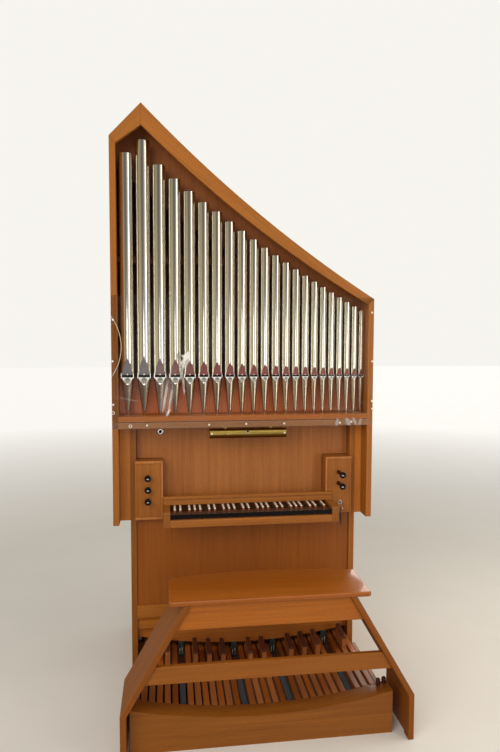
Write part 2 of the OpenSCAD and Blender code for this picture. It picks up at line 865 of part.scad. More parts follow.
felt_drop = 10;
felt_end = sharp_y - 65;
module slot_felts() {
    placed() color([0.15, 0.17, 0.22]) for (i = open_slots)
        board([slot_x(i) - pedal_w / 2, pedal_front + 1, slot_z(i) - pedal_t],
            [slot_x(i) + pedal_w / 2, felt_end, slot_z(i) - felt_drop]);
}

// Turned pegs that stand in blind holes of the heel rail
peg_d = 20;
peg_h = 46;
peg_in = 16;
peg_y = pedal_front - 14;
peg_places = [pedal_rt - 42, pedal_rt - 16];
function peg_z(x) = hollow_z(x) - peg_in;
module heel_pegs() {
    placed() color([0.25, 0.12, 0.08]) for (x = peg_places)
        translate([x, peg_y, peg_z(x)]) {
            cylinder(h = peg_h - peg_d / 2, d = peg_d);
            translate([0, 0, peg_h - peg_d / 2]) sphere(d = peg_d);
        }
}

// Board behind the pedals, hollowed over them
kick_clear = 28;
kick_lap = 40;
kick_y = ped_y + rail_d;
module kick_board() {
    placed() color(wood) along_y(kick_y, kick_y + panel_t)
        difference() {
            translate([pli, 0]) square([pri - pli, rail_z + kick_lap]);
            hollow_edge(pli - 1, pri + 1, -1, -kick_clear);
        }
}

// Bench

bench_y = -bench_out;
side_top = seat_z - seat_t;
lean = atan((bench_foot - bench_top) / (side_top - bench_knee));
side_slant = bench_t / cos(lean);
knee_in = bench_knee - bench_t * tan(lean / 2);
function bench_inner(z) = bench_top - side_slant + (side_top - z) * tan(lean);

relief_h = 10;
relief_in = 54;
module bench_side(s) {
    placed() color(wood) translate([bench_x, 0, 0]) difference() {
        along_y(bench_y, bench_y + bench_d)
            polygon([[s * bench_top, side_top], [s * bench_foot, bench_knee], [s * bench_foot, 0],
                [s * (bench_foot - bench_t), 0], [s * (bench_foot - bench_t), knee_in],
                [s * (bench_top - side_slant), side_top]]);
        board([s * bench_foot - 2 * bench_t, bench_y + relief_in, -1],
            [s * bench_foot + 2 * bench_t, bench_y + bench_d - relief_in, relief_h]);
    }
}

module bench_left() { bench_side(-1); }
module bench_right() { bench_side(1); }

// Rail between the leaning sides, cut to their slant
rail_in = 11;
rail_play = 0.2;
module bench_rail(z0, z1) {
    y = bench_y + rail_in;
    a = bench_inner(z0) - rail_play;
    b = bench_inner(z1) - rail_play;
    placed() color(wood) translate([bench_x, 0, 0]) along_y(y, y + rail_t)
        polygon([[-a, z0], [a, z0], [b, z1], [-b, z1]]);
}

apron_z = 537;
bar_z = 317;
bar_h = 72;
module bench_apron() { bench_rail(apron_z, side_top); }
module bench_bar() { bench_rail(bar_z, bar_z + bar_h); }

module bench_seat() {
    corner = 14;
    placed() color(wood) translate([bench_x, bench_y - seat_over, side_top]) linear_extrude(seat_t)
        offset(r = corner) offset(delta = -corner)
            polygon(concat([[-seat_l / 2, 0], [seat_l / 2, 0]],
                [for (i = [0:24]) let (t = i / 24)
                    [seat_l / 2 - seat_l * t, seat_d + seat_over + 4 * seat_bow * t * (1 - t)]]));
}

case_side_left();
case_side_right();
roof_left();
roof_right();
gable_left_board();
gable_right_board();
case_back();
case_floor();
bottom_rail();
toe_board();
foot_panel();
top_panel();
pipe_rack();
pipes_bass();
pipes_tenor();
pipes_treble();
guard_sheet();
guard_plate();
infill_left();
infill_right();
desk_panel();
jamb_left();
jamb_right();
stop_left_1();
stop_left_2();
stop_left_3();
stop_right_1();
stop_right_2();
jamb_lock();
lock_key();
name_rail();
key_slip();
key_cheeks();
key_bed();
manual_naturals();
manual_sharps();
sharp_caps();
lamp_shade();
lamp_bracket();
cable_ring();
pedestal_left();
pedestal_right();
pedestal_panel();
pedestal_rail();
kick_board();
pedestal_back();
heel_rail();
pedal_sides();
pedal_beams();
pedal_naturals();
pedal_sharps();
pedal_caps();
slot_felts();
heel_pegs();
bench_seat();
bench_left();
bench_right();
bench_apron();
bench_bar();
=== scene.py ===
"""Looks of a small pipe organ with a stepped row of metal pipes, one manual and pedals."""

import itertools
import math

import bmesh
import bpy
from mathutils import Matrix, Vector


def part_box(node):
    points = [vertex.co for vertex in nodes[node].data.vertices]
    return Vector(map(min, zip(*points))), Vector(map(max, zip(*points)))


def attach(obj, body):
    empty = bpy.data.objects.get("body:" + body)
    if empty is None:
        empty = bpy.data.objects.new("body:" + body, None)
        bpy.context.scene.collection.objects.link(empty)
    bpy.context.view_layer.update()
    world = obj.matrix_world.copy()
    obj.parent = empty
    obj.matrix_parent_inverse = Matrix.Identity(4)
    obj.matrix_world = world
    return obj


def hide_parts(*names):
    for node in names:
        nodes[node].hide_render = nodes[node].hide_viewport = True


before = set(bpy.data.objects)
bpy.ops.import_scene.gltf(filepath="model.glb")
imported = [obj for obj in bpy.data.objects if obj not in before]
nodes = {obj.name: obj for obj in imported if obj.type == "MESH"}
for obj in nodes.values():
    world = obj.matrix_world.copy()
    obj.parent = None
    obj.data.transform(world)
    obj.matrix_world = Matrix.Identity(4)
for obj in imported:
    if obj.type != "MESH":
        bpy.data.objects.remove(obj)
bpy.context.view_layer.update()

# Places in the case frame, in millimetres: x from the middle, y from the front edges, z from the floor
left_low, left_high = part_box("case_side_left")
right_low, right_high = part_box("case_side_right")
ORIGIN = Vector(((left_low[0] + right_high[0]) / 2, left_low[1], 0))


def at(x, y, z):
    """A point of the case frame, given in millimetres, as a place in the scene."""
    return ORIGIN + Vector((x, y, z)) / 1000


def span(node):
    """Lowest and highest corner of a node in the case frame, in millimetres."""
    low, high = (Vector(corner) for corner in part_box(node))
    return (low - ORIGIN) * 1000, (high - ORIGIN) * 1000


# Camera, where the photograph was taken from
EYE = (-374.4, -2902.3, 1721.3)
LENS = 29.293
YAW = math.radians(7.718)
PITCH = math.radians(3.824)
ROLL = math.radians(0.162)
forward = Vector((math.sin(YAW) * math.cos(PITCH), math.cos(YAW) * math.cos(PITCH), -math.sin(PITCH)))
level = Vector((math.cos(YAW), -math.sin(YAW), 0))
upright = level.cross(forward)
right = math.cos(ROLL) * level + math.sin(ROLL) * upright
up = math.cos(ROLL) * upright - math.sin(ROLL) * level
camera = bpy.data.objects.new("camera", bpy.data.cameras.new("camera"))
bpy.context.collection.objects.link(camera)
turned = Matrix((right, up, -forward)).transposed().to_4x4()
camera.matrix_world = Matrix.Translation(at(*EYE)) @ turned
camera.data.lens = LENS
bpy.context.scene.camera = camera

# Materials


class Nodes:
    """Short calls for the nodes of one material or world."""

    def __init__(self, owner):
        owner.use_nodes = True
        self.tree = owner.node_tree
        self.tree.nodes.clear()

    def add(self, kind, **settings):
        node = self.tree.nodes.new(kind)
        for key, value in settings.items():
            setattr(node, key, value)
        return node

    def join(self, source, target):
        self.tree.links.new(source, target)

    def put(self, target, value):
        """Sets a socket to a number, a colour or another node's output."""
        if isinstance(value, bpy.types.NodeSocket):
            self.join(value, target)
        else:
            target.default_value = value

    def place(self):
        """Where a point of the piece lies in the scene at rest."""
        return self.add("ShaderNodeTexCoord").outputs["Object"]

    def spot(self, centre, size, angle=0.0):
        """1 at a place in the case frame, falling to 0 at size away along x and z, turned about y."""
        node = self.add("ShaderNodeMapping", vector_type="TEXTURE")
        node.inputs["Location"].default_value = at(*centre)
        node.inputs["Rotation"].default_value = (0, angle, 0)
        node.inputs["Scale"].default_value = (size[0] / 1000, 1, size[1] / 1000)
        self.join(self.place(), node.inputs["Vector"])
        blob = self.add("ShaderNodeTexGradient", gradient_type="SPHERICAL")
        self.join(node.outputs[0], blob.inputs["Vector"])
        return blob.outputs["Fac"]

    def math(self, operation, a, b=0.0, c=0.0):
        node = self.add("ShaderNodeMath", operation=operation)
        for socket, value in zip(node.inputs, (a, b, c)):
            self.put(socket, value)
        return node.outputs[0]

    def total(self, *values):
        result = values[0]
        for value in values[1:]:
            result = self.math("ADD", result, value)
        return result

    def dot(self, vector, direction):
        node = self.add("ShaderNodeVectorMath", operation="DOT_PRODUCT")
        self.join(vector, node.inputs[0])
        node.inputs[1].default_value = direction
        return node.outputs["Value"]

    def xyz(self, x, y, z):
        node = self.add("ShaderNodeCombineXYZ")
        self.put(node.inputs[0], x)
        self.put(node.inputs[1], y)
        self.put(node.inputs[2], z)
        return node.outputs[0]

    def split(self, vector):
        node = self.add("ShaderNodeSeparateXYZ")
        self.join(vector, node.inputs[0])
        return node.outputs

    def stretched(self, point, rates, detail=3.0, roughness=0.5):
        """Noise over a point whose three parts run at their own rates."""
        parts = [self.math("MULTIPLY", part, rate) for part, rate in zip(point, rates)]
        return self.noise(self.xyz(*parts), 1, detail, roughness)

    def noise(self, vector, scale=1.0, detail=3.0, roughness=0.5):
        node = self.add("ShaderNodeTexNoise")
        self.join(vector, node.inputs["Vector"])
        node.inputs["Scale"].default_value = scale
        node.inputs["Detail"].default_value = detail
        node.inputs["Roughness"].default_value = roughness
        return node.outputs["Fac"]

    def chance(self, value):
        """A number from 0 to 1 that belongs to the given whole number."""
        node = self.add("ShaderNodeTexWhiteNoise", noise_dimensions="1D")
        self.put(node.inputs["W"], value)
        return node.outputs["Value"]

    def between(self, value, low, high, to_low=0.0, to_high=1.0):
        """The value brought from the range low to high into another one, and held inside it."""
        node = self.add("ShaderNodeMapRange")
        self.put(node.inputs["Value"], value)
        names = ("From Min", "From Max", "To Min", "To Max")
        for name, number in zip(names, (low, high, to_low, to_high)):
            node.inputs[name].default_value = number
        return node.outputs[0]

    def vary(self, noise, to_low, to_high):
        """A noise, which keeps between 0.3 and 0.7 for the most part, brought into a range."""
        return self.between(noise, 0.3, 0.7, to_low, to_high)

    def ramp(self, value, stops):
        node = self.add("ShaderNodeValToRGB")
        band = node.color_ramp
        while len(band.elements) < len(stops):
            band.elements.new(0.5)
        for element, (place, colour) in zip(band.elements, stops):
            element.position = place
            element.color = (*colour, 1)
        self.put(node.inputs[0], value)
        return node.outputs[0]

    def mix(self, share, a, b, blend="MIX"):
        node = self.add("ShaderNodeMix", data_type="RGBA", blend_type=blend)
        self.put(node.inputs[0], share)
        self.put(node.inputs[6], a if isinstance(a, bpy.types.NodeSocket) else (*a, 1))
        self.put(node.inputs[7], b if isinstance(b, bpy.types.NodeSocket) else (*b, 1))
        return node.outputs[2]

    def shaded(self, colour, shade):
        return self.mix(1.0, colour, self.xyz(shade, shade, shade), "MULTIPLY")


class Shader(Nodes):
    """One material with a single surface."""

    def __init__(self, name):
        self.material = bpy.data.materials.new(name)
        super().__init__(self.material)
        self.surface = self.add("ShaderNodeBsdfPrincipled")
        output = self.add("ShaderNodeOutputMaterial")
        self.join(self.surface.outputs[0], output.inputs[0])

    def bump(self, height, distance, strength):
        node = self.add("ShaderNodeBump")
        node.inputs["Strength"].default_value = strength
        node.inputs["Distance"].default_value = distance
        self.join(height, node.inputs["Height"])
        self.join(node.outputs[0], self.surface.inputs["Normal"])

    def set(self, **values):
        """Sets the surface's own sockets, with _ for a space in their names."""
        for key, value in values.items():
            self.put(self.surface.inputs[key.replace("_", " ")], value)


def linear(r, g, b):
    """A colour from 0 to 255 on screen, as light."""
    return tuple(((c / 255 + 0.055) / 1.055) ** 2.4 if c > 10 else c / 255 / 12.92 for c in (r, g, b))


def square_to(axis):
    """The axis as a unit direction, and two directions square to it."""
    axis = Vector(axis).normalized()
    helper = Vector((0, 1, 0)) if abs(axis.y) < 0.9 else Vector((0, 0, 1))
    across = axis.cross(helper).normalized()
    return axis, across, axis.cross(across).normalized()


ALONG_X = (1, 0, 0)
ALONG_Y = (0, 1, 0)
ALONG_Z = (0, 0, 1)

# Row of the pedals: middle of the first one, and the way from one to the next, in millimetres
PEDAL_START = -481.5
PEDAL_PITCH = 33.5

# How far the lightest and darkest grain stand from a wood's own colour
GRAIN = 0.13


def wood(name, axis, colour, seed, rough=0.42, below=None, keys=0.0, coat=0.07, coat_rough=0.2):
    """Varnished wood with straight grain along axis and short darker flecks.
    below is (height, axis) for a board whose lower part has its grain another way.
    keys is how far the tones of the pedals in a row differ."""
    s = Shader(name)
    place = s.place()
    x, _, z = s.split(place)
    point = [s.dot(place, direction) for direction in square_to(axis)]
    if below:
        lower = s.math("LESS_THAN", z, below[0] / 1000)
        for k, direction in enumerate(square_to(below[1])):
            share = s.add("ShaderNodeMix", data_type="FLOAT")
            s.put(share.inputs[0], lower)
            s.put(share.inputs[2], s.dot(place, square_to(axis)[k]))
            s.put(share.inputs[3], s.dot(place, direction))
            point[k] = share.outputs[0]
    shift = seed
    if keys:
        from_start = s.math("SUBTRACT", x, at(PEDAL_START, 0, 0).x)
        number = s.math("ROUND", s.math("DIVIDE", from_start, PEDAL_PITCH / 1000))
        tone_of_key = s.chance(number)
        shift = s.math("MULTIPLY_ADD", tone_of_key, 5.0, seed)
    point[0] = s.math("ADD", point[0], shift)
    point[1] = s.math("ADD", point[1], seed * 0.37)
    broad = s.stretched(point, (0.7, 6, 6), 3)
    streaks = s.stretched(point, (1.6, 55, 55), 3)
    lines = s.stretched(point, (4, 330, 330), 3, 0.6)
    flecks = s.stretched(point, (55, 620, 620), 2)
    shares = ((broad, 0.24), (streaks, 0.26), (lines, 0.50))
    tone = s.total(*(s.math("MULTIPLY", noise, share) for noise, share in shares))
    low = tuple(c * (1 - GRAIN) ** (1.6 + 0.6 * k) for k, c in enumerate(colour))
    high = tuple(c * (1 + GRAIN) ** (1.6 - 0.2 * k) for k, c in enumerate(colour))
    shown = s.ramp(tone, [(0.36, low), (0.5, colour), (0.64, high)])
    shown = s.shaded(shown, s.between(flecks, 0.30, 0.46, 0.80, 1.0))
    if keys:
        shown = s.shaded(shown, s.between(tone_of_key, 0, 1, 1 - keys, 1 + keys * 0.4))
    mottle = s.total(s.math("MULTIPLY", lines, 0.6), s.math("MULTIPLY", flecks, 0.4))
    s.set(Base_Color=shown, Roughness=s.vary(mottle, rough + 0.07, rough - 0.05))
    s.set(Specular_IOR_Level=0.34, Coat_Weight=coat, Coat_Roughness=coat_rough)
    s.bump(mottle, 0.0002, 0.25)
    return s.material


def metal(name, colour, rough, streak=0.08, axis=ALONG_Z, rates=(2.5, 260)):
    """Metal with a soft mottling and faint lines along axis, which run at the rates along and across it."""
    s = Shader(name)
    place = s.place()
    point = [s.dot(place, direction) for direction in square_to(axis)]
    lines = s.stretched(point, (rates[0], rates[1], rates[1]), 3)
    clouds = s.noise(place, 14, 3)
    worn = s.total(s.math("MULTIPLY", lines, 0.5), s.math("MULTIPLY", clouds, 0.5))
    s.set(
        Base_Color=s.shaded(s.xyz(*colour), s.vary(worn, 1 - streak, 1.0)),
        Metallic=1.0,
        Roughness=s.vary(worn, rough * 1.15, rough * 0.9),
    )
    return s.material


def leaf_metal_painted_reflection(name, start, end):
    """Dull metal of the mouths' leaves, grey at the start of the row and red-brown towards its end: a
    painted reflection of the wood and floor in front.
    """
    s = Shader(name)
    place = s.place()
    x = s.split(place)[0]
    colour = s.ramp(
        s.between(x, at(start, 0, 0).x, at(end, 0, 0).x),
        [
            (0.0, (0.34, 0.335, 0.365)),
            (0.24, (0.33, 0.30, 0.315)),
            (0.44, (0.37, 0.27, 0.265)),
            (0.66, (0.39, 0.20, 0.195)),
            (1.0, (0.41, 0.135, 0.13)),
        ],
    )
    clouds = s.noise(place, 120, 4, 0.6)
    s.set(Base_Color=s.shaded(colour, s.vary(clouds, 0.8, 1.1)), Metallic=0.8)
    s.set(Roughness=s.vary(clouds, 0.50, 0.42))
    return s.material


def gloss(name, colour, rough, specks=0.15, coat=0.5, shine=0.5):
    """Polished paint, plastic or ivory with a faint unevenness."""
    s = Shader(name)
    place = s.place()
    clouds = s.noise(place, 40, 4)
    s.set(
        Base_Color=s.shaded(s.xyz(*colour), s.vary(clouds, 1 - specks, 1.0)),
        Roughness=s.vary(clouds, rough * 1.3, rough * 0.8),
    )
    s.set(Coat_Weight=coat, Coat_Roughness=0.08, Specular_IOR_Level=shine)
    s.bump(s.noise(place, 160, 2), 0.0001, 0.2)
    return s.material


def felt(name, colour):
    """Matt felt with fine fibres."""
    s = Shader(name)
    fibres = s.noise(s.place(), 900, 4, 0.7)
    s.set(Base_Color=s.shaded(s.xyz(*colour), s.vary(fibres, 0.6, 1.2)), Roughness=0.95, Sheen_Weight=0.3)
    s.bump(fibres, 0.0008, 0.6)
    return s.material


# Scuffs on the clear sheet: middle x and z, half width, half length, turn in degrees, strength
SCUFFS = [
    (-385, 1428, 8, 84, 10, 0.32),
    (-360, 1414, 6, 80, 9, 0.26),
    (-371, 1354, 8, 24, 28, 0.5),
    (-376, 1440, 42, 110, 9, 0.10),
    (-283, 1624, 13, 27, 30, 1.1),
    (-288, 1619, 25, 10, 10, 0.7),
    (-278, 1611, 7, 25, -28, 0.5),
    (-293, 1605, 8, 32, 40, 0.5),
    (-296, 1590, 22, 34, 40, 0.35),
    (-303, 1556, 7, 60, 10, 0.40),
    (-298, 1490, 7, 60, -4, 0.32),
    (450, 1294, 12, 24, 14, 0.36),
    (505, 1296, 16, 26, -24, 0.36),
    (540, 1298, 9, 30, -26, 0.36),
    (566, 1294, 10, 24, 20, 0.30),
    (-560, 1420, 70, 4, 12, 0.10),
    (300, 1372, 90, 2.5, 4, 0.10),
    (420, 1364, 90, 2.5, 8, 0.12),
    (520, 1352, 90, 2.5, 14, 0.12),
    (560, 1400, 70, 2.5, 20, 0.10),
]

# Height at which the clear sheet begins to cloud towards its lower edge, and over how much
CLOUDED = 1313
CLOUDING = 5


def clear(name):
    """Clear sheet with scuffs and faint scratches that catch the light."""
    s = Shader(name)
    place = s.place()
    x, y, z = s.split(place)
    haze = s.noise(place, 7, 3)
    leaning = (s.math("MULTIPLY_ADD", z, 0.6, x), y, s.math("MULTIPLY_ADD", x, -0.6, z))
    fine = s.stretched(leaning, (260, 20, 9), 2, 0.6)
    marks = s.between(fine, 0.68, 0.76, 0.0, 0.10)
    film = s.between(haze, 0.4, 0.7, 0.0, 0.022)
    foot = s.between(z, at(0, 0, CLOUDED).z, at(0, 0, CLOUDED - CLOUDING).z, 0.0, 0.06)
    alpha = s.total(marks, film, foot)
    streaky = s.stretched((x, y, z), (420, 1, 26), 3, 0.6)
    torn = s.between(streaky, 0.35, 0.62, 0.35, 1.0)
    for across, height, wide, long, turn, strength in SCUFFS:
        blob = s.between(s.spot((across, -2.5, height), (wide, long), math.radians(turn)), 0.0, 0.45)
        alpha = s.math("MULTIPLY_ADD", s.math("MULTIPLY", blob, torn), strength, alpha)
    shown = s.mix(s.between(alpha, 0.05, 0.3), (0.62, 0.62, 0.60), (0.92, 0.88, 0.86))
    s.set(Base_Color=shown, Roughness=0.08, Alpha=s.math("MINIMUM", alpha, 0.8), Specular_IOR_Level=0.35)
    return s.material


def key_wood(name, front, head_end):
    """Natural black keys: dark fronts, a painted lit brown on the key tops behind front, and black tails
    behind head_end.
    """
    s = Shader(name)
    place = s.place()
    x, y, z = s.split(place)
    noise = s.stretched((x, y, z), (700, 22, 700), 3)
    lit_heads = s.math("GREATER_THAN", y, at(0, front + 0.8, 0).y)
    tails = s.math("GREATER_THAN", y, at(0, head_end, 0).y)
    # Brown of the key tops' front parts: painted light where light falls on the black keys
    brown = s.shaded(s.xyz(*linear(62, 43, 34)), s.vary(noise, 0.6, 1.2))
    colour = s.mix(lit_heads, linear(12, 10, 11), brown)
    colour = s.mix(tails, colour, linear(16, 15, 16))
    s.set(Base_Color=colour, Roughness=s.vary(noise, 0.3, 0.2), Specular_IOR_Level=0.3)
    return s.material


def lamp_metal_painted_reflection(name, low, high):
    """Brass with a painted reflection: dark towards its lower side and brightest just above its middle."""
    s = Shader(name)
    place = s.place()
    z = s.split(place)[2]
    clouds = s.noise(place, 30, 4)
    # Painted reflection by height: darker below, brightest just above the middle
    shade = s.ramp(
        s.between(z, at(0, 0, low).z, at(0, 0, high).z),
        [
            (0.0, linear(140, 104, 44)),
            (0.40, linear(150, 112, 46)),
            (0.56, linear(206, 176, 92)),
            (1.0, linear(190, 156, 84)),
        ],
    )
    s.set(Base_Color=s.shaded(shade, s.vary(clouds, 0.88, 1.05)), Metallic=1.0)
    s.set(Roughness=s.vary(clouds, 0.34, 0.26))
    return s.material


# Ways of the grain along the sloping boards, and the height where the bench's feet stand upright
SLOPE_LEFT = (145, 0, 153)
SLOPE_RIGHT = (1119, 0, -879)
LEAN_LEFT = (253, 0, 441)
LEAN_RIGHT = (-253, 0, 441)
FEET = (199, ALONG_Z)
VENEER = linear(162, 98, 34)
GABLE = linear(168, 103, 38)
veneer_z = wood("veneer_upright", ALONG_Z, VENEER, 0.3)
veneer_x = wood("veneer_level", ALONG_X, VENEER, 1.7)
gable_left_wood = wood("veneer_gable_left", SLOPE_LEFT, GABLE, 2.6)
gable_right_wood = wood("veneer_gable_right", SLOPE_RIGHT, GABLE, 3.6)
wing_left_wood = wood("veneer_wing_left", ALONG_Z, linear(186, 115, 43), 3.1)
wing_right_wood = wood("veneer_wing_right", ALONG_Z, linear(211, 130, 52), 5.3)
rail_wood = wood("veneer_bottom_rail", ALONG_X, linear(150, 97, 42), 8.3)
toe_wood = wood("veneer_toe_board", ALONG_X, linear(164, 96, 42), 8.9)
desk_wood = wood("veneer_desk", ALONG_Z, linear(170, 105, 50), 7.9)
pedestal_left_wood = wood("veneer_pedestal_left", ALONG_Z, linear(146, 87, 27), 0.6)
panel_wood = wood("veneer_panel", ALONG_Z, linear(148, 81, 20), 9.4)
inner_wood = wood("inner_wood", ALONG_Z, linear(146, 86, 44), 2.2, rough=0.5)
back_wood = wood("inner_wood_back", ALONG_Z, linear(150, 94, 62), 2.9, rough=0.5)
seat_wood = wood("veneer_seat", ALONG_X, linear(156, 85, 20), 4.8, rough=0.3, coat=0.6, coat_rough=0.1)
bench_wood = wood("veneer_bench", ALONG_X, linear(154, 90, 28), 5.9)
apron_wood = wood("veneer_bench_apron", ALONG_X, linear(171, 97, 28), 5.2)
bench_left_wood = wood("veneer_bench_left", LEAN_LEFT, linear(142, 79, 18), 6.1, below=FEET)
bench_right_wood = wood("veneer_bench_right", LEAN_RIGHT, linear(144, 80, 18), 6.9, below=FEET)
foot_wood = wood("veneer_foot_rail", ALONG_X, linear(147, 87, 28), 6.6)
cheek_wood = wood("veneer_key_cheek", ALONG_Z, linear(146, 88, 32), 4.4)
# The inner wood made much lighter on the shaded panel behind the pipe feet, a painted light
foot_panel_painted_light_wood = wood("inner_wood_foot_painted_light", ALONG_Z, linear(216, 122, 70), 5.6, rough=0.5)
lip_wood_painted_highlight = wood("veneer_jamb_lip_painted_highlight", ALONG_Z, linear(186, 118, 58), 6.3)
painted_shadow_wood = wood("veneer_shadow_gap", ALONG_Z, linear(70, 38, 18), 6.4)
kick_wood = wood("veneer_kick_board", ALONG_X, linear(180, 106, 40), 7.4)
slip_wood = wood("veneer_key_slip", ALONG_X, linear(160, 97, 36), 9.9)
dark_wood = wood("dark_wood", ALONG_Y, linear(84, 44, 32), 1.1, rough=0.3, keys=0.4)
pedal_wood = wood("pedal_wood", ALONG_Y, linear(176, 98, 38), 0.9, rough=0.38, keys=0.34)
sharp_wood = wood("pedal_sharp_wood", ALONG_Y, linear(176, 108, 58), 3.9, rough=0.4, keys=0.2)
pipe_tin = metal("pipe_tin", linear(242, 238, 228), 0.14, 0.04, rates=(0.8, 200))
foot_tin = metal("pipe_foot_tin", linear(206, 190, 172), 0.12, 0.10)
lip_tin = metal("pipe_lip_tin", linear(252, 250, 246), 0.2, 0.03)
dish_painted_reflection_tin = metal("pipe_lip_dish_painted_reflection", linear(158, 156, 140), 0.3, 0.1)
leaf_tin_painted_reflection = leaf_metal_painted_reflection("pipe_leaf_painted_reflection", start=-575, end=-200)
mouth_painted_shadow = gloss("mouth_shadow", linear(22, 18, 16), 0.6, 0.3, coat=0.0)
nickel = metal("bright_metal", linear(226, 222, 214), 0.2, axis=ALONG_Y)
screw_head = gloss("screw_head", linear(250, 244, 228), 0.25, 0.06)
acrylic = clear("clear_acrylic")
plate_edge_painted_highlight = gloss("clear_acrylic_edge_painted_highlight", linear(232, 222, 198), 0.3, 0.2)
black = gloss("black_gloss", linear(10, 9, 8), 0.3, coat=0.0, shine=0.22)
stop_mark_and_glint = gloss("black_knob_mark_and_glint", linear(186, 194, 198), 0.3, 0.2)
key_black = key_wood("key_black", front=-68, head_end=-25.5)
key_brown = wood("key_brown", ALONG_Y, linear(138, 78, 48), 2.9, rough=0.34)
ivory = gloss("key_white", linear(246, 240, 224), 0.24, 0.08)
leather = gloss("fob_leather", linear(58, 34, 24), 0.5, 0.4, coat=0.1)
guide_felt = felt("guide_felt", linear(46, 58, 52))
blue_felt = felt("blue_felt", linear(44, 49, 58))

DRESS = {
    "case_side_left": veneer_z,
    "case_side_right": veneer_z,
    "roof_left": gable_left_wood,
    "roof_right": gable_right_wood,
    "gable_left_board": gable_left_wood,
    "gable_right_board": gable_right_wood,
    "case_back": back_wood,
    "case_floor": inner_wood,
    "bottom_rail": rail_wood,
    "toe_board": toe_wood,
    "foot_panel": foot_panel_painted_light_wood,
    "top_panel": inner_wood,
    "pipe_rack": inner_wood,
    "guard_sheet": acrylic,
    "guard_plate": acrylic,
    "infill_left": wing_left_wood,
    "infill_right": wing_right_wood,
    "desk_panel": desk_wood,
    "jamb_left": veneer_z,
    "jamb_right": veneer_z,
    "stop_left_1": black,
    "stop_left_2": black,
    "stop_left_3": black,
    "stop_right_1": black,
    "stop_right_2": black,
    "jamb_lock": nickel,
    "lock_key": nickel,
    "name_rail": slip_wood,
    "key_slip": slip_wood,
    "key_cheeks": cheek_wood,
    "key_bed": inner_wood,
    "manual_naturals": key_black,
    "manual_sharps": key_brown,
    "sharp_caps": ivory,
    "lamp_bracket": metal("lamp_brass", linear(190, 156, 84), 0.25, axis=ALONG_X),
    "cable_ring": nickel,
    "pedestal_left": pedestal_left_wood,
    "pedestal_right": veneer_z,
    "pedestal_panel": panel_wood,
    "pedestal_rail": veneer_x,
    "kick_board": kick_wood,
    "pedestal_back": inner_wood,
    "heel_rail": foot_wood,
    "pedal_sides": foot_wood,
    "pedal_beams": inner_wood,
    "pedal_naturals": pedal_wood,
    "pedal_sharps": sharp_wood,
    "pedal_caps": dark_wood,
    "slot_felts": blue_felt,
    "heel_pegs": dark_wood,
    "bench_left": bench_left_wood,
    "bench_right": bench_right_wood,
    "bench_apron": apron_wood,
    "bench_bar": bench_wood,
}
lamp_low, lamp_high = span("lamp_shade")
DRESS["lamp_shade"] = lamp_metal_painted_reflection("lamp_brass_shade_painted_reflection", lamp_low.z, lamp_high.z)
for name, material in DRESS.items():
    for slot in nodes[name].material_slots:
        slot.material = material

# Shapes

TURN = 2 * math.pi
FORWARD = (0, -1, 0)


def make(name, bm, materials, body="organ", sharp=30, stands_for=()):
    """Turns a mesh in the making into a piece of the scene. Edges above sharp degrees stay hard."""
    bmesh.ops.recalc_face_normals(bm, faces=bm.faces)
    mesh = bpy.data.meshes.new(name)
    bm.to_mesh(mesh)
    bm.free()
    mesh.shade_smooth()
    mesh.set_sharp_from_angle(angle=math.radians(sharp))
    for material in materials:
        mesh.materials.append(material)
    item = bpy.data.objects.new(name, mesh)
    bpy.context.collection.objects.link(item)
    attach(item, body)
    if stands_for:
        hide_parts(*stands_for)


def loop(bm, points):
    """A row of points in the mesh, from places in the case frame."""
    return [bm.verts.new(at(*point)) for point in points]


def circle(middle, across, through, radius, count, flat=1.0):
    """Points round a middle in the plane of two directions, squeezed along the second one by flat."""
    turns = [TURN * k / count for k in range(count)]
    return [
        middle + across * radius * math.cos(turn) + through * radius * flat * math.sin(turn)
        for turn in turns
    ]


def bridge(bm, first, second, material=0, closed=True, skip=()):
    """Faces between two rows of points, except those whose number is in skip."""
    count = len(first)
    for k in range(count if closed else count - 1):
        if k not in skip:
            following = (k + 1) % count
            face = bm.faces.new((first[k], first[following], second[following], second[k]))
            face.material_index = material(k) if callable(material) else material


def lathe(bm, profile, centre, axis, segments=24, material=0):
    """Turned solid round a line through centre. profile is a list of (radius, way along the axis).
    It starts and ends on the line or with a flat face."""
    main, across, through = square_to(axis)
    rows = []
    for radius, way in profile:
        middle = Vector(centre) + main * way
        count = segments if radius else 1
        rows.append(loop(bm, circle(middle, across, through, radius, count)))
    for first, second in zip(rows, rows[1:]):
        if len(first) == 1 or len(second) == 1:
            tip, ring = (first[0], second) if len(first) == 1 else (second[0], first)
            for k in range(segments):
                bm.faces.new((tip, ring[k], ring[(k + 1) % segments])).material_index = material
        else:
            bridge(bm, first, second, material)
    for row in (rows[0], rows[-1]):
        if len(row) > 1:
            bm.faces.new(row).material_index = material


def tube(bm, points, radius, sides=8, closed=False, material=0, flat=1.0):
    """Round or flattened wire along points of the case frame. radius can be a call from 0 to 1 along it."""
    points = [Vector(point) for point in points]
    count = len(points)
    rows = []
    for k, point in enumerate(points):
        before = points[(k - 1) % count] if closed or k else point
        after = points[(k + 1) % count] if closed or k < count - 1 else point
        _, across, through = square_to(after - before)
        r = radius(k / (count - 1)) if callable(radius) else radius
        rows.append(loop(bm, circle(point, across, through, r, sides, flat)))
    for first, second in zip(rows, rows[1:] + rows[:1] if closed else rows[1:]):
        bridge(bm, first, second, material)
    if not closed:
        bm.faces.new(rows[0]).material_index = material
        bm.faces.new(rows[-1]).material_index = material


# Corners of each side of a block, numbered with z running fastest and x slowest
BLOCK_SIDES = ((0, 1, 3, 2), (4, 6, 7, 5), (0, 4, 5, 1), (2, 3, 7, 6), (0, 2, 6, 4), (1, 5, 7, 3))


def bevel(bm, edges, width, segments, **settings):
    """Rounds edges by width millimetres."""
    bmesh.ops.bevel(
        bm, geom=edges, offset=width / 1000, segments=segments, affect="EDGES", profile=0.5, **settings
    )


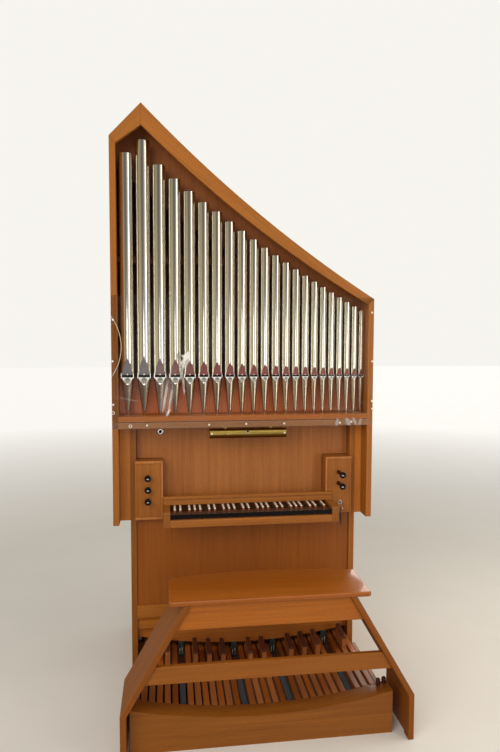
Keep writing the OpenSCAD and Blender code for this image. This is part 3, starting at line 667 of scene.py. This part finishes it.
def block(bm, low, high, material=0, edge=0.0):
    """Box between two corners, with its edges rounded by edge millimetres."""
    corners = loop(bm, itertools.product(*zip(low, high)))
    faces = []
    for sides in BLOCK_SIDES:
        face = bm.faces.new([corners[k] for k in sides])
        face.material_index = material
        faces.append(face)
    if edge:
        bmesh.ops.recalc_face_normals(bm, faces=faces)
        edges = list(dict.fromkeys(side for face in faces for side in face.edges))
        bevel(bm, edges, edge, 2, material=material)


# Points this close are one point, faces this flat are one face, and edges above CORNER are rounded
WELD = 1e-5
FLAT = math.radians(0.2)
CORNER = math.radians(30)


def rounded_copy(name, node, material, width, segments):
    """Copy of a node's solid with all its edges rounded."""
    bm = bmesh.new()
    bm.from_mesh(nodes[node].data)
    bmesh.ops.remove_doubles(bm, verts=bm.verts, dist=WELD)
    bmesh.ops.dissolve_limit(bm, angle_limit=FLAT, verts=bm.verts, edges=bm.edges)
    edges = [edge for edge in bm.edges if edge.calc_face_angle(0) > CORNER]
    bevel(bm, edges, width, segments, clamp_overlap=True)
    make(name, bm, [material], sharp=40, stands_for=[node])


# Boards and keys whose edges are slightly rounded, by the radius in millimetres
ROUNDED = {
    2.4: "bench_left bench_right bench_apron bench_bar heel_rail pedal_sides",
    2.0: "pedal_naturals pedal_sharps pedal_caps",
    1.6: "case_side_left case_side_right roof_left roof_right gable_left_board gable_right_board",
    1.5: "bottom_rail toe_board pedestal_left pedestal_right pedestal_rail kick_board pedestal_panel",
    1.2: "jamb_left jamb_right name_rail key_slip key_cheeks infill_left infill_right",
    0.8: "manual_naturals manual_sharps sharp_caps cable_ring lock_key",
}
for width, names in ROUNDED.items():
    for name in names.split():
        weld = nodes[name].modifiers.new("weld", "WELD")
        weld.merge_threshold = WELD
        plain = nodes[name].modifiers.new("plain", "DECIMATE")
        plain.decimate_type = "DISSOLVE"
        plain.angle_limit = FLAT
        edge = nodes[name].modifiers.new("edge", "BEVEL")
        edge.width = width / 1000
        edge.segments = 2
        edge.limit_method = "ANGLE"
        edge.angle_limit = CORNER

rounded_copy("seat_board", "bench_seat", seat_wood, 5.0, 4)

# Row of pipes: their number, heights, places and sizes, and how much shorter some are than the rule gives
PIPES = 22
PIPE_Y = 62
TOE_TOP = 1336
PIPE_FOOT = 183
BODY_FROM = 174
TIP_R = 7
WALL = 1.2
INNER_LEFT = left_high.x * 1000 - ORIGIN.x * 1000
INNER_RIGHT = right_low.x * 1000 - ORIGIN.x * 1000
PITCH_RATIO = 0.9626
FIRST_IN = 42.5
LAST_IN = 16.5
WIDEST = 68
HALVING = 17
LONGEST = 1124
SHORTER = {0: 11, 1: 13, 3: 5, 4: 7, 5: 6}

# Points of a pipe's ring in its front sector and round its back, and the numbers of its materials
FRONT = 14
REAR = 48
BODY, LEAF, POCKET, FOOT, LIP, DISH_REFLECTION, GLINT_BEAD = range(7)
PIPE_METALS = [pipe_tin, leaf_tin_painted_reflection, mouth_painted_shadow, foot_tin, lip_tin, dish_painted_reflection_tin, screw_head]

# Lip, mouth, leaf and bead of a pipe, in shares of its diameter; the bead is a pale dot, a painted highlight
LIP_TALL = 0.54
LIP_WIDE = 0.42
DISH_DEEP = 0.035
CUT_UP = 0.19
LEAF_TALL = 1.14
LEAF_INSET = 0.022
GLINT_BEAD_SIZE = 0.062

# Leaves of pipes wider than this many millimetres are taller, by LEAF_MORE for the widest
NARROW_TO = 51
LEAF_MORE = 0.13

# Arcs of a leaf's two sides, in diameters: their radius, their height and the offset of their middles
ARC_R = 2.022
ARC_TALL = 1.18
ARC_OFF = 1.6416

# Share of a leaf's half width where its face ends, and how far the points between are drawn that way
LEAF_SIDE = 0.95
LEAF_PULL = 0.12


def pipe_places():
    """Middle, diameter and length of the body of each pipe, from the left. The second one is the longest."""
    reach = INNER_RIGHT - LAST_IN - INNER_LEFT - FIRST_IN
    pitch = reach * (1 - PITCH_RATIO) / (1 - PITCH_RATIO ** (PIPES - 1))
    for k in range(PIPES):
        step = {0: 1, 1: 0}.get(k, k)
        middle = INNER_LEFT + FIRST_IN + pitch * (1 - PITCH_RATIO**k) / (1 - PITCH_RATIO)
        yield middle, WIDEST * 2 ** (-step / HALVING), LONGEST * 2 ** (-step / 12) - SHORTER.get(k, 0)


def pipe_ring(bm, x, z, radius, half, depth=None, inset=0.0):
    """One level of a pipe: a front sector from -half to half, then round the back.
    depth(u) moves the front sector back from the chord, for u from -1 to 1, and inset all but its two ends.
    Without depth the sector lies on the round."""
    points = []
    for k in range(FRONT + 1):
        u = -1 + 2 * k / FRONT
        inner = 0 < k < FRONT
        if inset and inner:
            pulled = abs(u) * (1 + LEAF_PULL * (1 - abs(u)))
            u = math.copysign(LEAF_SIDE if k in (1, FRONT - 1) else pulled, u)
        if depth is None:
            y = -math.sqrt(max(radius**2 - (u * half) ** 2, 0))
        else:
            y = -math.sqrt(radius**2 - half**2) + depth(u) + (inset if inner else 0)
        points.append((x + u * half, PIPE_Y + y, TOE_TOP + z))
    start = math.asin(half / radius)
    for k in range(1, REAR):
        angle = start + (TURN - 2 * start) * k / REAR
        points.append((x + radius * math.sin(angle), PIPE_Y - radius * math.cos(angle), TOE_TOP + z))
    return loop(bm, points)


def add_pipe(bm, x, d, length):
    """Metal pipe with a conical foot, a pressed lower lip, an open mouth, a pointed leaf and ears."""
    r = d / 2
    lip = LIP_TALL * d
    tip = (LEAF_TALL + LEAF_MORE * max(0, (d - NARROW_TO) / (WIDEST - NARROW_TO))) * d
    leaf_z = PIPE_FOOT + CUT_UP * d
    top = BODY_FROM + length

    def foot_radius(z):
        return TIP_R + (r - TIP_R) * z / PIPE_FOOT

    foot_rows = []
    for k in range(4):
        z = (PIPE_FOOT - lip) * k / 3
        foot_rows.append(pipe_ring(bm, x, z, foot_radius(z), 0.04 * foot_radius(z)))
    for first, second in zip(foot_rows, foot_rows[1:]):
        bridge(bm, first, second, FOOT)
    bm.faces.new(foot_rows[0]).material_index = FOOT

    # Lower lip, with t falling from 1 at its point to 0 at the mouth
    last = foot_rows[-1]
    for k in range(1, 11):
        t = 1 - k / 10
        z = PIPE_FOOT - lip * t
        half = max(LIP_WIDE * d * (1 - t) ** 0.72, 0.04 * foot_radius(z))

        def dished(u, t=t, half=half):
            near = (u * half / (0.27 * d)) ** 2 + ((t - 0.30) / 0.30) ** 2
            return DISH_DEEP * d * max(1 - near, 0) ** 1.5

        row = pipe_ring(bm, x, z, foot_radius(z), half, dished)

        # The middle of the lower lip's dish takes a duller grey-green metal, a painted reflection
        def front(c, t=t + 0.05, half=half):
            if c >= FRONT:
                return FOOT
            off = (-1 + (2 * c + 1) / FRONT) * half
            return DISH_REFLECTION if (off / (0.21 * d)) ** 2 + ((t - 0.36) / 0.28) ** 2 < 1 else LIP

        bridge(bm, last, row, front)
        last = row
    lower = last

    def leaf_row(t):
        """Level of the leaf at height t above the mouth, as wide as its arcs and the flat body allow."""
        depth = max(0.34 * r * (1 - 1.1 * t / (1.25 * d)), 0)
        chord = math.sqrt(max(2 * r * depth - depth**2, 0))
        arc = math.sqrt((ARC_R * d) ** 2 - (t * ARC_TALL * d / tip) ** 2) - ARC_OFF * d
        half = max(min(chord, arc), 0.02 * r)
        inset = LEAF_INSET * d * min(1, 3 * (1 - t / tip))
        return pipe_ring(bm, x, leaf_z + t, r, half, lambda u: 0.0, inset)

    # Mouth, open to a pocket that is dark with painted shadow
    upper = leaf_row(0)
    bridge(bm, lower, upper, BODY, skip=range(FRONT))
    lower_edge, upper_edge = lower[: FRONT + 1], upper[: FRONT + 1]
    back = at(0, PIPE_Y - 0.12 * r, 0).y
    floor_row = [bm.verts.new((v.co.x, back, v.co.z)) for v in lower_edge]
    roof_row = [bm.verts.new((v.co.x, back, v.co.z)) for v in upper_edge]
    bridge(bm, lower_edge, floor_row, POCKET, closed=False)
    bridge(bm, floor_row, roof_row, POCKET, closed=False)
    bridge(bm, roof_row, upper_edge, POCKET, closed=False)
    for k in (0, FRONT):
        bm.faces.new((lower[k], floor_row[k], roof_row[k], upper[k])).material_index = POCKET

    # Leaf, body and open top, closed lower down by a disc of painted shadow
    last = upper
    for k in range(1, 15):
        row = leaf_row(tip * (1 - (1 - k / 14) ** 1.3) if k < 14 else tip)
        bridge(bm, last, row, lambda c: LEAF if 0 < c < FRONT - 1 else BODY)
        last = row
    for share in (0.06, 0.5, 1.0):
        z = leaf_z + tip + (top - leaf_z - tip) * share
        row = pipe_ring(bm, x, z, r, 0.02 * r)
        bridge(bm, last, row, BODY)
        last = row
    rim = pipe_ring(bm, x, top, r - WALL, 0.02 * r)
    bottom = pipe_ring(bm, x, top - 1.5 * d, r - WALL, 0.02 * r)
    bridge(bm, last, rim, LIP)
    bridge(bm, rim, bottom, POCKET)
    bm.faces.new(bottom).material_index = POCKET

    # Ears beside the mouth, and a pale bead at the foot of the leaf, a painted highlight
    mouth_z = TOE_TOP + PIPE_FOOT
    thick = 0.7
    for side in (-1, 1):
        middle = x + side * (0.85 * r + thick)
        low = (middle - thick, PIPE_Y - 0.97 * r, mouth_z - 0.05 * d)
        high = (middle + thick, PIPE_Y - 0.40 * r, mouth_z + 0.30 * d)
        block(bm, low, high, LIP)
    glint_bead = GLINT_BEAD_SIZE * d
    profile = [(glint_bead * math.cos(a), glint_bead * math.sin(a)) for a in (0, 0.5, 1.0, 1.35)] + [(0, glint_bead)]
    lathe(bm, profile, (x, PIPE_Y - 0.66 * r + 0.3, TOE_TOP + leaf_z + glint_bead * 0.5), FORWARD, 12, GLINT_BEAD)


places = list(pipe_places())
for part, first, after in (("bass", 0, 7), ("tenor", 7, 14), ("treble", 14, PIPES)):
    bm = bmesh.new()
    for x, d, length in places[first:after]:
        add_pipe(bm, x, d, length)
    make(part + "_pipes", bm, PIPE_METALS, sharp=32, stands_for=["pipes_" + part])

# Screws and washers of the clear sheet, and screws of the small plate, as (x, z)
SHEET_SCREWS = [
    (-625, 1395),
    (624, 1594),
    (620, 1833),
    (625, 1398),
    (627, 1360),
    (-470, 1295),
    (-178, 1294),
    (1, 1295),
    (186, 1294),
    (465, 1293),
    (522, 1297),
]
SHEET_WASHERS = [(-626, 1357), (-547, 1293)]
PLATE_SCREWS = [(-622, 1790), (-625, 1598)]
SCREW_HEAD = [(5.0, 0), (5.0, 0.8), (4.0, 1.9), (2.0, 2.5), (0, 2.7)]
WASHER_R = 6.6
WASHER_WIDE = 1.7
WASHER_THICK = 1.2
guard_low = span("guard_sheet")[0]
plate_low, plate_high = span("guard_plate")
bm = bmesh.new()
for screws, face in ((SHEET_SCREWS, guard_low.y), (PLATE_SCREWS, plate_low.y)):
    for x, z in screws:
        lathe(bm, SCREW_HEAD, (x, face, z), FORWARD, 20)
for x, z in SHEET_WASHERS:
    rows = []
    for k in range(8):
        wide = WASHER_R + WASHER_WIDE * math.cos(TURN * k / 8)
        proud = WASHER_THICK + WASHER_THICK * math.sin(TURN * k / 8)
        middle = Vector((x, guard_low.y - proud, z))
        rows.append(loop(bm, circle(middle, Vector(ALONG_X), Vector(ALONG_Z), wide, 24)))
    for first, second in zip(rows, rows[1:] + rows[:1]):
        bridge(bm, first, second)
make("guard_screws", bm, [screw_head])

# Edge of the small plate, a pale bead along its bow that paints the highlight of its polished edge, which
# stops a little short of the corners
BOW_STEPS = 12
BOW_SHARE = 0.985
BOW_BEAD = 1.5
bow_w = plate_high.x - plate_low.x
bow_h = plate_high.z - plate_low.z
bow_r = (bow_h**2 / 4 + bow_w**2) / (2 * bow_w)
bow_turn = math.asin(bow_h / 2 / bow_r)
bow_z = (plate_low.z + plate_high.z) / 2
bow = []
for k in range(2 * BOW_STEPS + 1):
    angle = bow_turn * (k / BOW_STEPS - 1) * BOW_SHARE
    x = plate_high.x - bow_r + bow_r * math.cos(angle) - 0.6
    bow.append((x, plate_low.y + 0.4, bow_z + bow_r * math.sin(angle)))
bm = bmesh.new()
tube(bm, bow, BOW_BEAD)
make("plate_edge_painted_highlight", bm, [plate_edge_painted_highlight])

# Reading lamp: switch knob with its ring, and the screws of its end discs
SWITCH_WAY = (0, -0.9, 0.44)
SWITCH_RING = [(7.0, 0), (7.0, 1.4), (6.2, 2.0), (0, 2.0)]
SWITCH_KNOB = [(5.6, 0), (5.6, 7), (4.8, 8.4), (0, 8.8)]
END_SCREW = [(4.6, 0), (4.6, 1.0), (3.4, 2.4), (0, 3.0)]
END_SCREW_IN = 9
middle = (lamp_low + lamp_high) / 2
lamp_r = (lamp_high.z - lamp_low.z) / 2
switch = Vector((middle.x - 4, middle.y - lamp_r * 0.86, middle.z + lamp_r * 0.42))
bm = bmesh.new()
lathe(bm, SWITCH_RING, switch, SWITCH_WAY, 20)
for end in (lamp_low.x + END_SCREW_IN, lamp_high.x - END_SCREW_IN):
    lathe(bm, END_SCREW, (end, middle.y - lamp_r * 0.97, middle.z + lamp_r * 0.1), (0, -1, 0.1), 16)
make("lamp_fittings", bm, [screw_head])
bm = bmesh.new()
lathe(bm, SWITCH_KNOB, switch + Vector((0, -1.6, 0.9)), SWITCH_WAY, 20)
make("lamp_switch", bm, [black])

# Ring, bead and fob on the key
RING_R = 9
RING_WIRE = 0.9
BEAD_R = 4.0
FOB_DROP = 20
FOB_LONG = 94
key_low, key_high = span("lock_key")
hole = Vector(((key_low.x + key_high.x) / 2, key_low.y + 6, (key_low.z + key_high.z) / 2))
ring = []
for k in range(24):
    side, height = math.sin(TURN * k / 24), math.cos(TURN * k / 24)
    ring.append((hole.x + 1.2 * side, hole.y - 4.4 * side, hole.z - RING_R + RING_R * height))
ball = [(BEAD_R * math.sin(a), -BEAD_R * math.cos(a)) for a in (0, 0.5, 1.0, 1.57, 2.1, 2.6)]
bm = bmesh.new()
tube(bm, ring, RING_WIRE, 8, closed=True)
lathe(bm, ball + [(0, BEAD_R)], (hole.x + 6, hole.y - 2, hole.z - 26), ALONG_Z, 14)
make("key_ring", bm, [nickel])


def fob_radius(t):
    """Half the width of the fob, narrow at both ends and widest below its middle."""
    return 1.6 + 3.0 * math.sin(math.pi * min(1, t * 1.05) ** 1.5)


strap = []
for k in range(13):
    way = k / 12
    strap.append((hole.x - 2 + 3 * way**2, hole.y + 1.0, hole.z - FOB_DROP - FOB_LONG * way))
bm = bmesh.new()
tube(bm, strap, fob_radius, 10, flat=0.4)
make("key_fob", bm, [leather])

# Small pale marks let into the faces of the stop knobs, label discs whose pale tone also paints the glint on
# them, half as tall as wide and a little below the middle
MARK = [(6.0, 0), (6.0, 0.5), (4.5, 0.9), (0, 1.0)]
MARK_IN = 1.4
MARK_BELOW = 2
for node in (name for name in nodes if name.startswith("stop_")):
    low, high = span(node)
    middle = (low + high) / 2
    bm = bmesh.new()
    lathe(bm, MARK, (middle.x, low.y + MARK_IN, 0), FORWARD, 24)
    for vertex in bm.verts:
        vertex.co.z = at(0, 0, middle.z - MARK_BELOW).z + vertex.co.z * 0.5
    make("mark_" + node, bm, [stop_mark_and_glint], body=node)

# Raised lips of the stop jambs: along the top and the side towards the keys, and the foot of the left one,
# in a lighter wood that paints the highlight on their edges
LIP_PROUD = 2.4
LIP_TOP = 12
LIP_SIDE = 9
LIP_GAP = 0.4
LIP_EDGE = 0.8
left_jamb, right_jamb = span("jamb_left"), span("jamb_right")
bm = bmesh.new()
for (low, high), side in (
    (left_jamb, (left_jamb[1].x - LIP_SIDE, left_jamb[1].x)),
    (right_jamb, (right_jamb[0].x, right_jamb[0].x + LIP_SIDE)),
):
    face = low.y - LIP_PROUD
    block(bm, (low.x, face, high.z - LIP_TOP), (high.x, low.y, high.z), 0, LIP_EDGE)
    block(bm, (side[0], face, low.z), (side[1], low.y, high.z - LIP_TOP - LIP_GAP), 0, LIP_EDGE)
low, high = left_jamb
block(
    bm,
    (low.x, low.y - LIP_PROUD, low.z),
    (high.x - LIP_SIDE - LIP_GAP, low.y, low.z + LIP_TOP),
    0,
    LIP_EDGE,
)
make("jamb_lips", bm, [lip_wood_painted_highlight])

# Edge of the desk, a dark strip of painted shadow in the gap and then a light strip of painted highlight,
# and a dark line of painted shadow in the groove along the name rail
PAINTED_SHADOW_GAP = (1, 0.0, 3.0, 0.2)
PAINTED_HIGHLIGHT_STRIP = (0, 3.0, 6.0, 0.9)
desk_low, desk_high = span("desk_panel")
rail_low, rail_high = span("name_rail")
left_top, right_top = left_jamb[1].z, right_jamb[1].z
bm = bmesh.new()
for material, start, end, proud in (PAINTED_SHADOW_GAP, PAINTED_HIGHLIGHT_STRIP):
    front = desk_low.y - proud
    for x, way, z0, z1 in (
        (desk_low.x, 1, left_top, desk_high.z),
        (desk_high.x, -1, right_top, desk_high.z),
        (right_jamb[0].x, -1, rail_high.z, right_top),
    ):
        xs = sorted((x + way * start, x + way * end))
        block(bm, (xs[0], front, z0), (xs[1], desk_low.y, z1), material)
    for x0, x1, z in (
        (desk_low.x, left_jamb[1].x, left_top),
        (right_jamb[0].x, desk_high.x, right_top),
    ):
        block(bm, (x0, front, z + start), (x1, desk_low.y, z + end), material)
groove = rail_high.z - 0.34 * (rail_high.z - rail_low.z)
low = (rail_low.x + 0.5, rail_low.y - 0.15, groove - 0.8)
high = (rail_high.x - 0.5, rail_low.y, groove + 0.8)
block(bm, low, high, 1)
make("desk_edges", bm, [lip_wood_painted_highlight, painted_shadow_wood])

# Guides behind the four open slots of the pedalboard, on the kick board, each with two pins and two rods
OPEN_SLOTS = (5, 13, 19, 27)
GUIDE_HALF = 13
GUIDE_THICK = 7
PIN = [(2.0, 0), (2.0, 13), (1.4, 14), (0, 14)]
PIN_WAY = (0, -1, 0.25)
kick_y = span("kick_board")[0].y
bm = bmesh.new()
for number in OPEN_SLOTS:
    x = PEDAL_START + PEDAL_PITCH * number
    z = 124 + (x - 25) ** 2 / 5000
    block(bm, (x - GUIDE_HALF, kick_y - GUIDE_THICK, z - 50), (x + GUIDE_HALF, kick_y, z + 30), 0, 1.0)
    for side in (-1, 1):
        pin_x = x + side * 6
        lathe(bm, PIN, (pin_x, kick_y - 6.5, z - 8 + side * 5), PIN_WAY, 10, 1)
        tube(bm, [(pin_x, kick_y - 8.6, z - 6), (pin_x, kick_y - 8.6, z - 34)], 1.3, 8, material=1)
make("pedal_guides", bm, [guide_felt, screw_head])

# Floor, light and background
BACKDROP = (0.93, 0.91, 0.86)
FLOOR_HALF = 30
FADE_FROM = 2.6
FADE_TO = 9.0


def stage_floor():
    """Pale floor that fades into the background for the camera, with a painted shadow inside the pedalboard.
    """
    mesh = bpy.data.meshes.new("floor")
    corners = [(x * FLOOR_HALF, y * FLOOR_HALF, 0) for x, y in ((-1, -1), (1, -1), (1, 1), (-1, 1))]
    mesh.from_pydata(corners, [], [(0, 1, 2, 3)])
    floor = bpy.data.objects.new("floor", mesh)
    bpy.context.collection.objects.link(floor)
    s = Shader("pale_floor")
    place = s.place()
    x, y, _ = s.split(place)
    clouds = s.noise(place, 3, 4)
    seen = s.add("ShaderNodeLightPath").outputs["Is Camera Ray"]
    low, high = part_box("pedal_sides")
    inside = []
    for way, start, end in ((x, low[0], high[0]), (y, low[1], high[1])):
        inside += [s.math("GREATER_THAN", way, start), s.math("LESS_THAN", way, end)]
    painted_shadow_under = s.math("GREATER_THAN", s.total(*inside), 3.5)
    pale = s.mix(seen, (0.56, 0.52, 0.47), (0.84, 0.81, 0.76))
    pale = s.mix(painted_shadow_under, pale, (0.02, 0.016, 0.012))
    away = s.math("SQRT", s.math("MULTIPLY_ADD", x, x, s.math("MULTIPLY", y, y)))
    fade = s.math("MULTIPLY", s.between(away, FADE_FROM, FADE_TO), seen)
    shade = s.math("MULTIPLY", s.vary(clouds, 0.97, 1.0), s.between(fade, 0, 1, 1, 0))
    s.set(Base_Color=s.shaded(pale, shade), Roughness=s.vary(clouds, 0.7, 0.85), Specular_IOR_Level=0.2)
    s.set(Emission_Color=(*BACKDROP, 1), Emission_Strength=fade)
    floor.data.materials.append(s.material)
    floor.visible_glossy = False


def lamp(name, place, target, width, height, power, colour=(1, 1, 1), in_gloss=False):
    """Soft light from a rectangle that faces the target, in metres and watts."""
    light = bpy.data.lights.new(name, "AREA")
    light.shape = "RECTANGLE"
    light.size = width
    light.size_y = height
    light.energy = power
    light.color = colour
    item = bpy.data.objects.new(name, light)
    bpy.context.collection.objects.link(item)
    item.location = place
    item.rotation_euler = (Vector(target) - Vector(place)).to_track_quat("-Z", "Y").to_euler()
    item.visible_camera = False
    item.visible_glossy = in_gloss
    item.visible_transmission = False


stage_floor()
lamp("window_strip", (2.0, -2.3, 2.0), (0, 0, 2.0), 0.42, 3.4, 16, (1.0, 0.95, 0.84), in_gloss=True)
lamp("window_low", (-0.35, -4.4, 1.35), (-0.35, 0, 1.35), 1.1, 1.2, 11, in_gloss=True)
lamp("room_key", (-2.4, -3.6, 3.3), (0, 0, 1.2), 3.0, 3.0, 92, (1.0, 0.96, 0.90))
lamp("warm_side", (3.4, -0.6, 2.3), (0.2, 0, 1.0), 1.8, 2.6, 46, (1.0, 0.93, 0.82))


def studio_world():
    """Plain background for the camera, even light for matt surfaces, and a banded room for reflections."""
    world = bpy.data.worlds.new("studio")
    bpy.context.scene.world = world
    s = Nodes(world)
    direction = s.add("ShaderNodeTexCoord").outputs["Generated"]
    x, y, z = s.split(direction)

    # Turn from 0 to 1, with 0.5 straight in front of the organ, and the room's colours by it
    turn = s.math("DIVIDE", s.math("ARCTAN2", x, s.math("MULTIPLY", y, -1.0)), TURN)
    turn = s.math("ADD", turn, 0.5)
    around = s.ramp(
        turn,
        [
            (0.00, (0.10, 0.07, 0.05)),
            (0.10, (0.30, 0.25, 0.18)),
            (0.165, (0.90, 0.83, 0.70)),
            (0.215, (0.34, 0.28, 0.18)),
            (0.25, (0.29, 0.24, 0.145)),
            (0.31, (0.50, 0.44, 0.28)),
            (0.385, (0.52, 0.46, 0.30)),
            (0.435, (0.29, 0.25, 0.17)),
            (0.485, (0.18, 0.15, 0.135)),
            (0.545, (0.31, 0.29, 0.29)),
            (0.582, (1.00, 0.99, 0.93)),
            (0.628, (1.00, 0.96, 0.84)),
            (0.662, (0.30, 0.23, 0.16)),
            (0.71, (0.28, 0.21, 0.14)),
            (0.76, (0.62, 0.50, 0.38)),
            (0.84, (0.36, 0.29, 0.19)),
            (0.92, (0.16, 0.12, 0.08)),
            (1.00, (0.08, 0.06, 0.04)),
        ],
    )
    ground = s.ramp(
        turn,
        [
            (0.00, (0.10, 0.08, 0.06)),
            (0.40, (0.14, 0.11, 0.10)),
            (0.52, (0.17, 0.15, 0.15)),
            (0.55, (0.44, 0.43, 0.42)),
            (0.58, (0.24, 0.21, 0.18)),
            (0.63, (0.42, 0.33, 0.23)),
            (0.71, (0.36, 0.27, 0.17)),
            (0.77, (0.14, 0.10, 0.07)),
            (1.00, (0.10, 0.08, 0.06)),
        ],
    )

    # Walls that darken upwards, the ground, a pale ceiling and a bright patch behind the organ
    room = s.shaded(around, s.between(z, -0.02, 0.22, 1.02, 0.62))
    room = s.mix(s.between(z, -0.24, -0.32), room, ground)
    room = s.mix(s.between(z, 0.34, 0.62), room, (0.86, 0.85, 0.80))
    wide = s.math("MULTIPLY", s.between(turn, 0.885, 0.905), s.between(turn, 0.985, 0.96))
    tall = s.math("MULTIPLY", s.between(z, 0.06, 0.16), s.between(z, 0.62, 0.50))
    room = s.mix(s.math("MULTIPLY", wide, tall), room, (3.0, 2.8, 2.5))
    rays = s.add("ShaderNodeLightPath")
    shown = s.mix(rays.outputs["Is Glossy Ray"], (0.50, 0.48, 0.44), room)
    seen = s.math("MAXIMUM", rays.outputs["Is Camera Ray"], rays.outputs["Is Transmission Ray"])
    shown = s.mix(seen, shown, BACKDROP)
    background = s.add("ShaderNodeBackground")
    s.join(shown, background.inputs[0])
    s.join(background.outputs[0], s.add("ShaderNodeOutputWorld").inputs[0])


studio_world()
bpy.context.scene.view_settings.view_transform = "Standard"
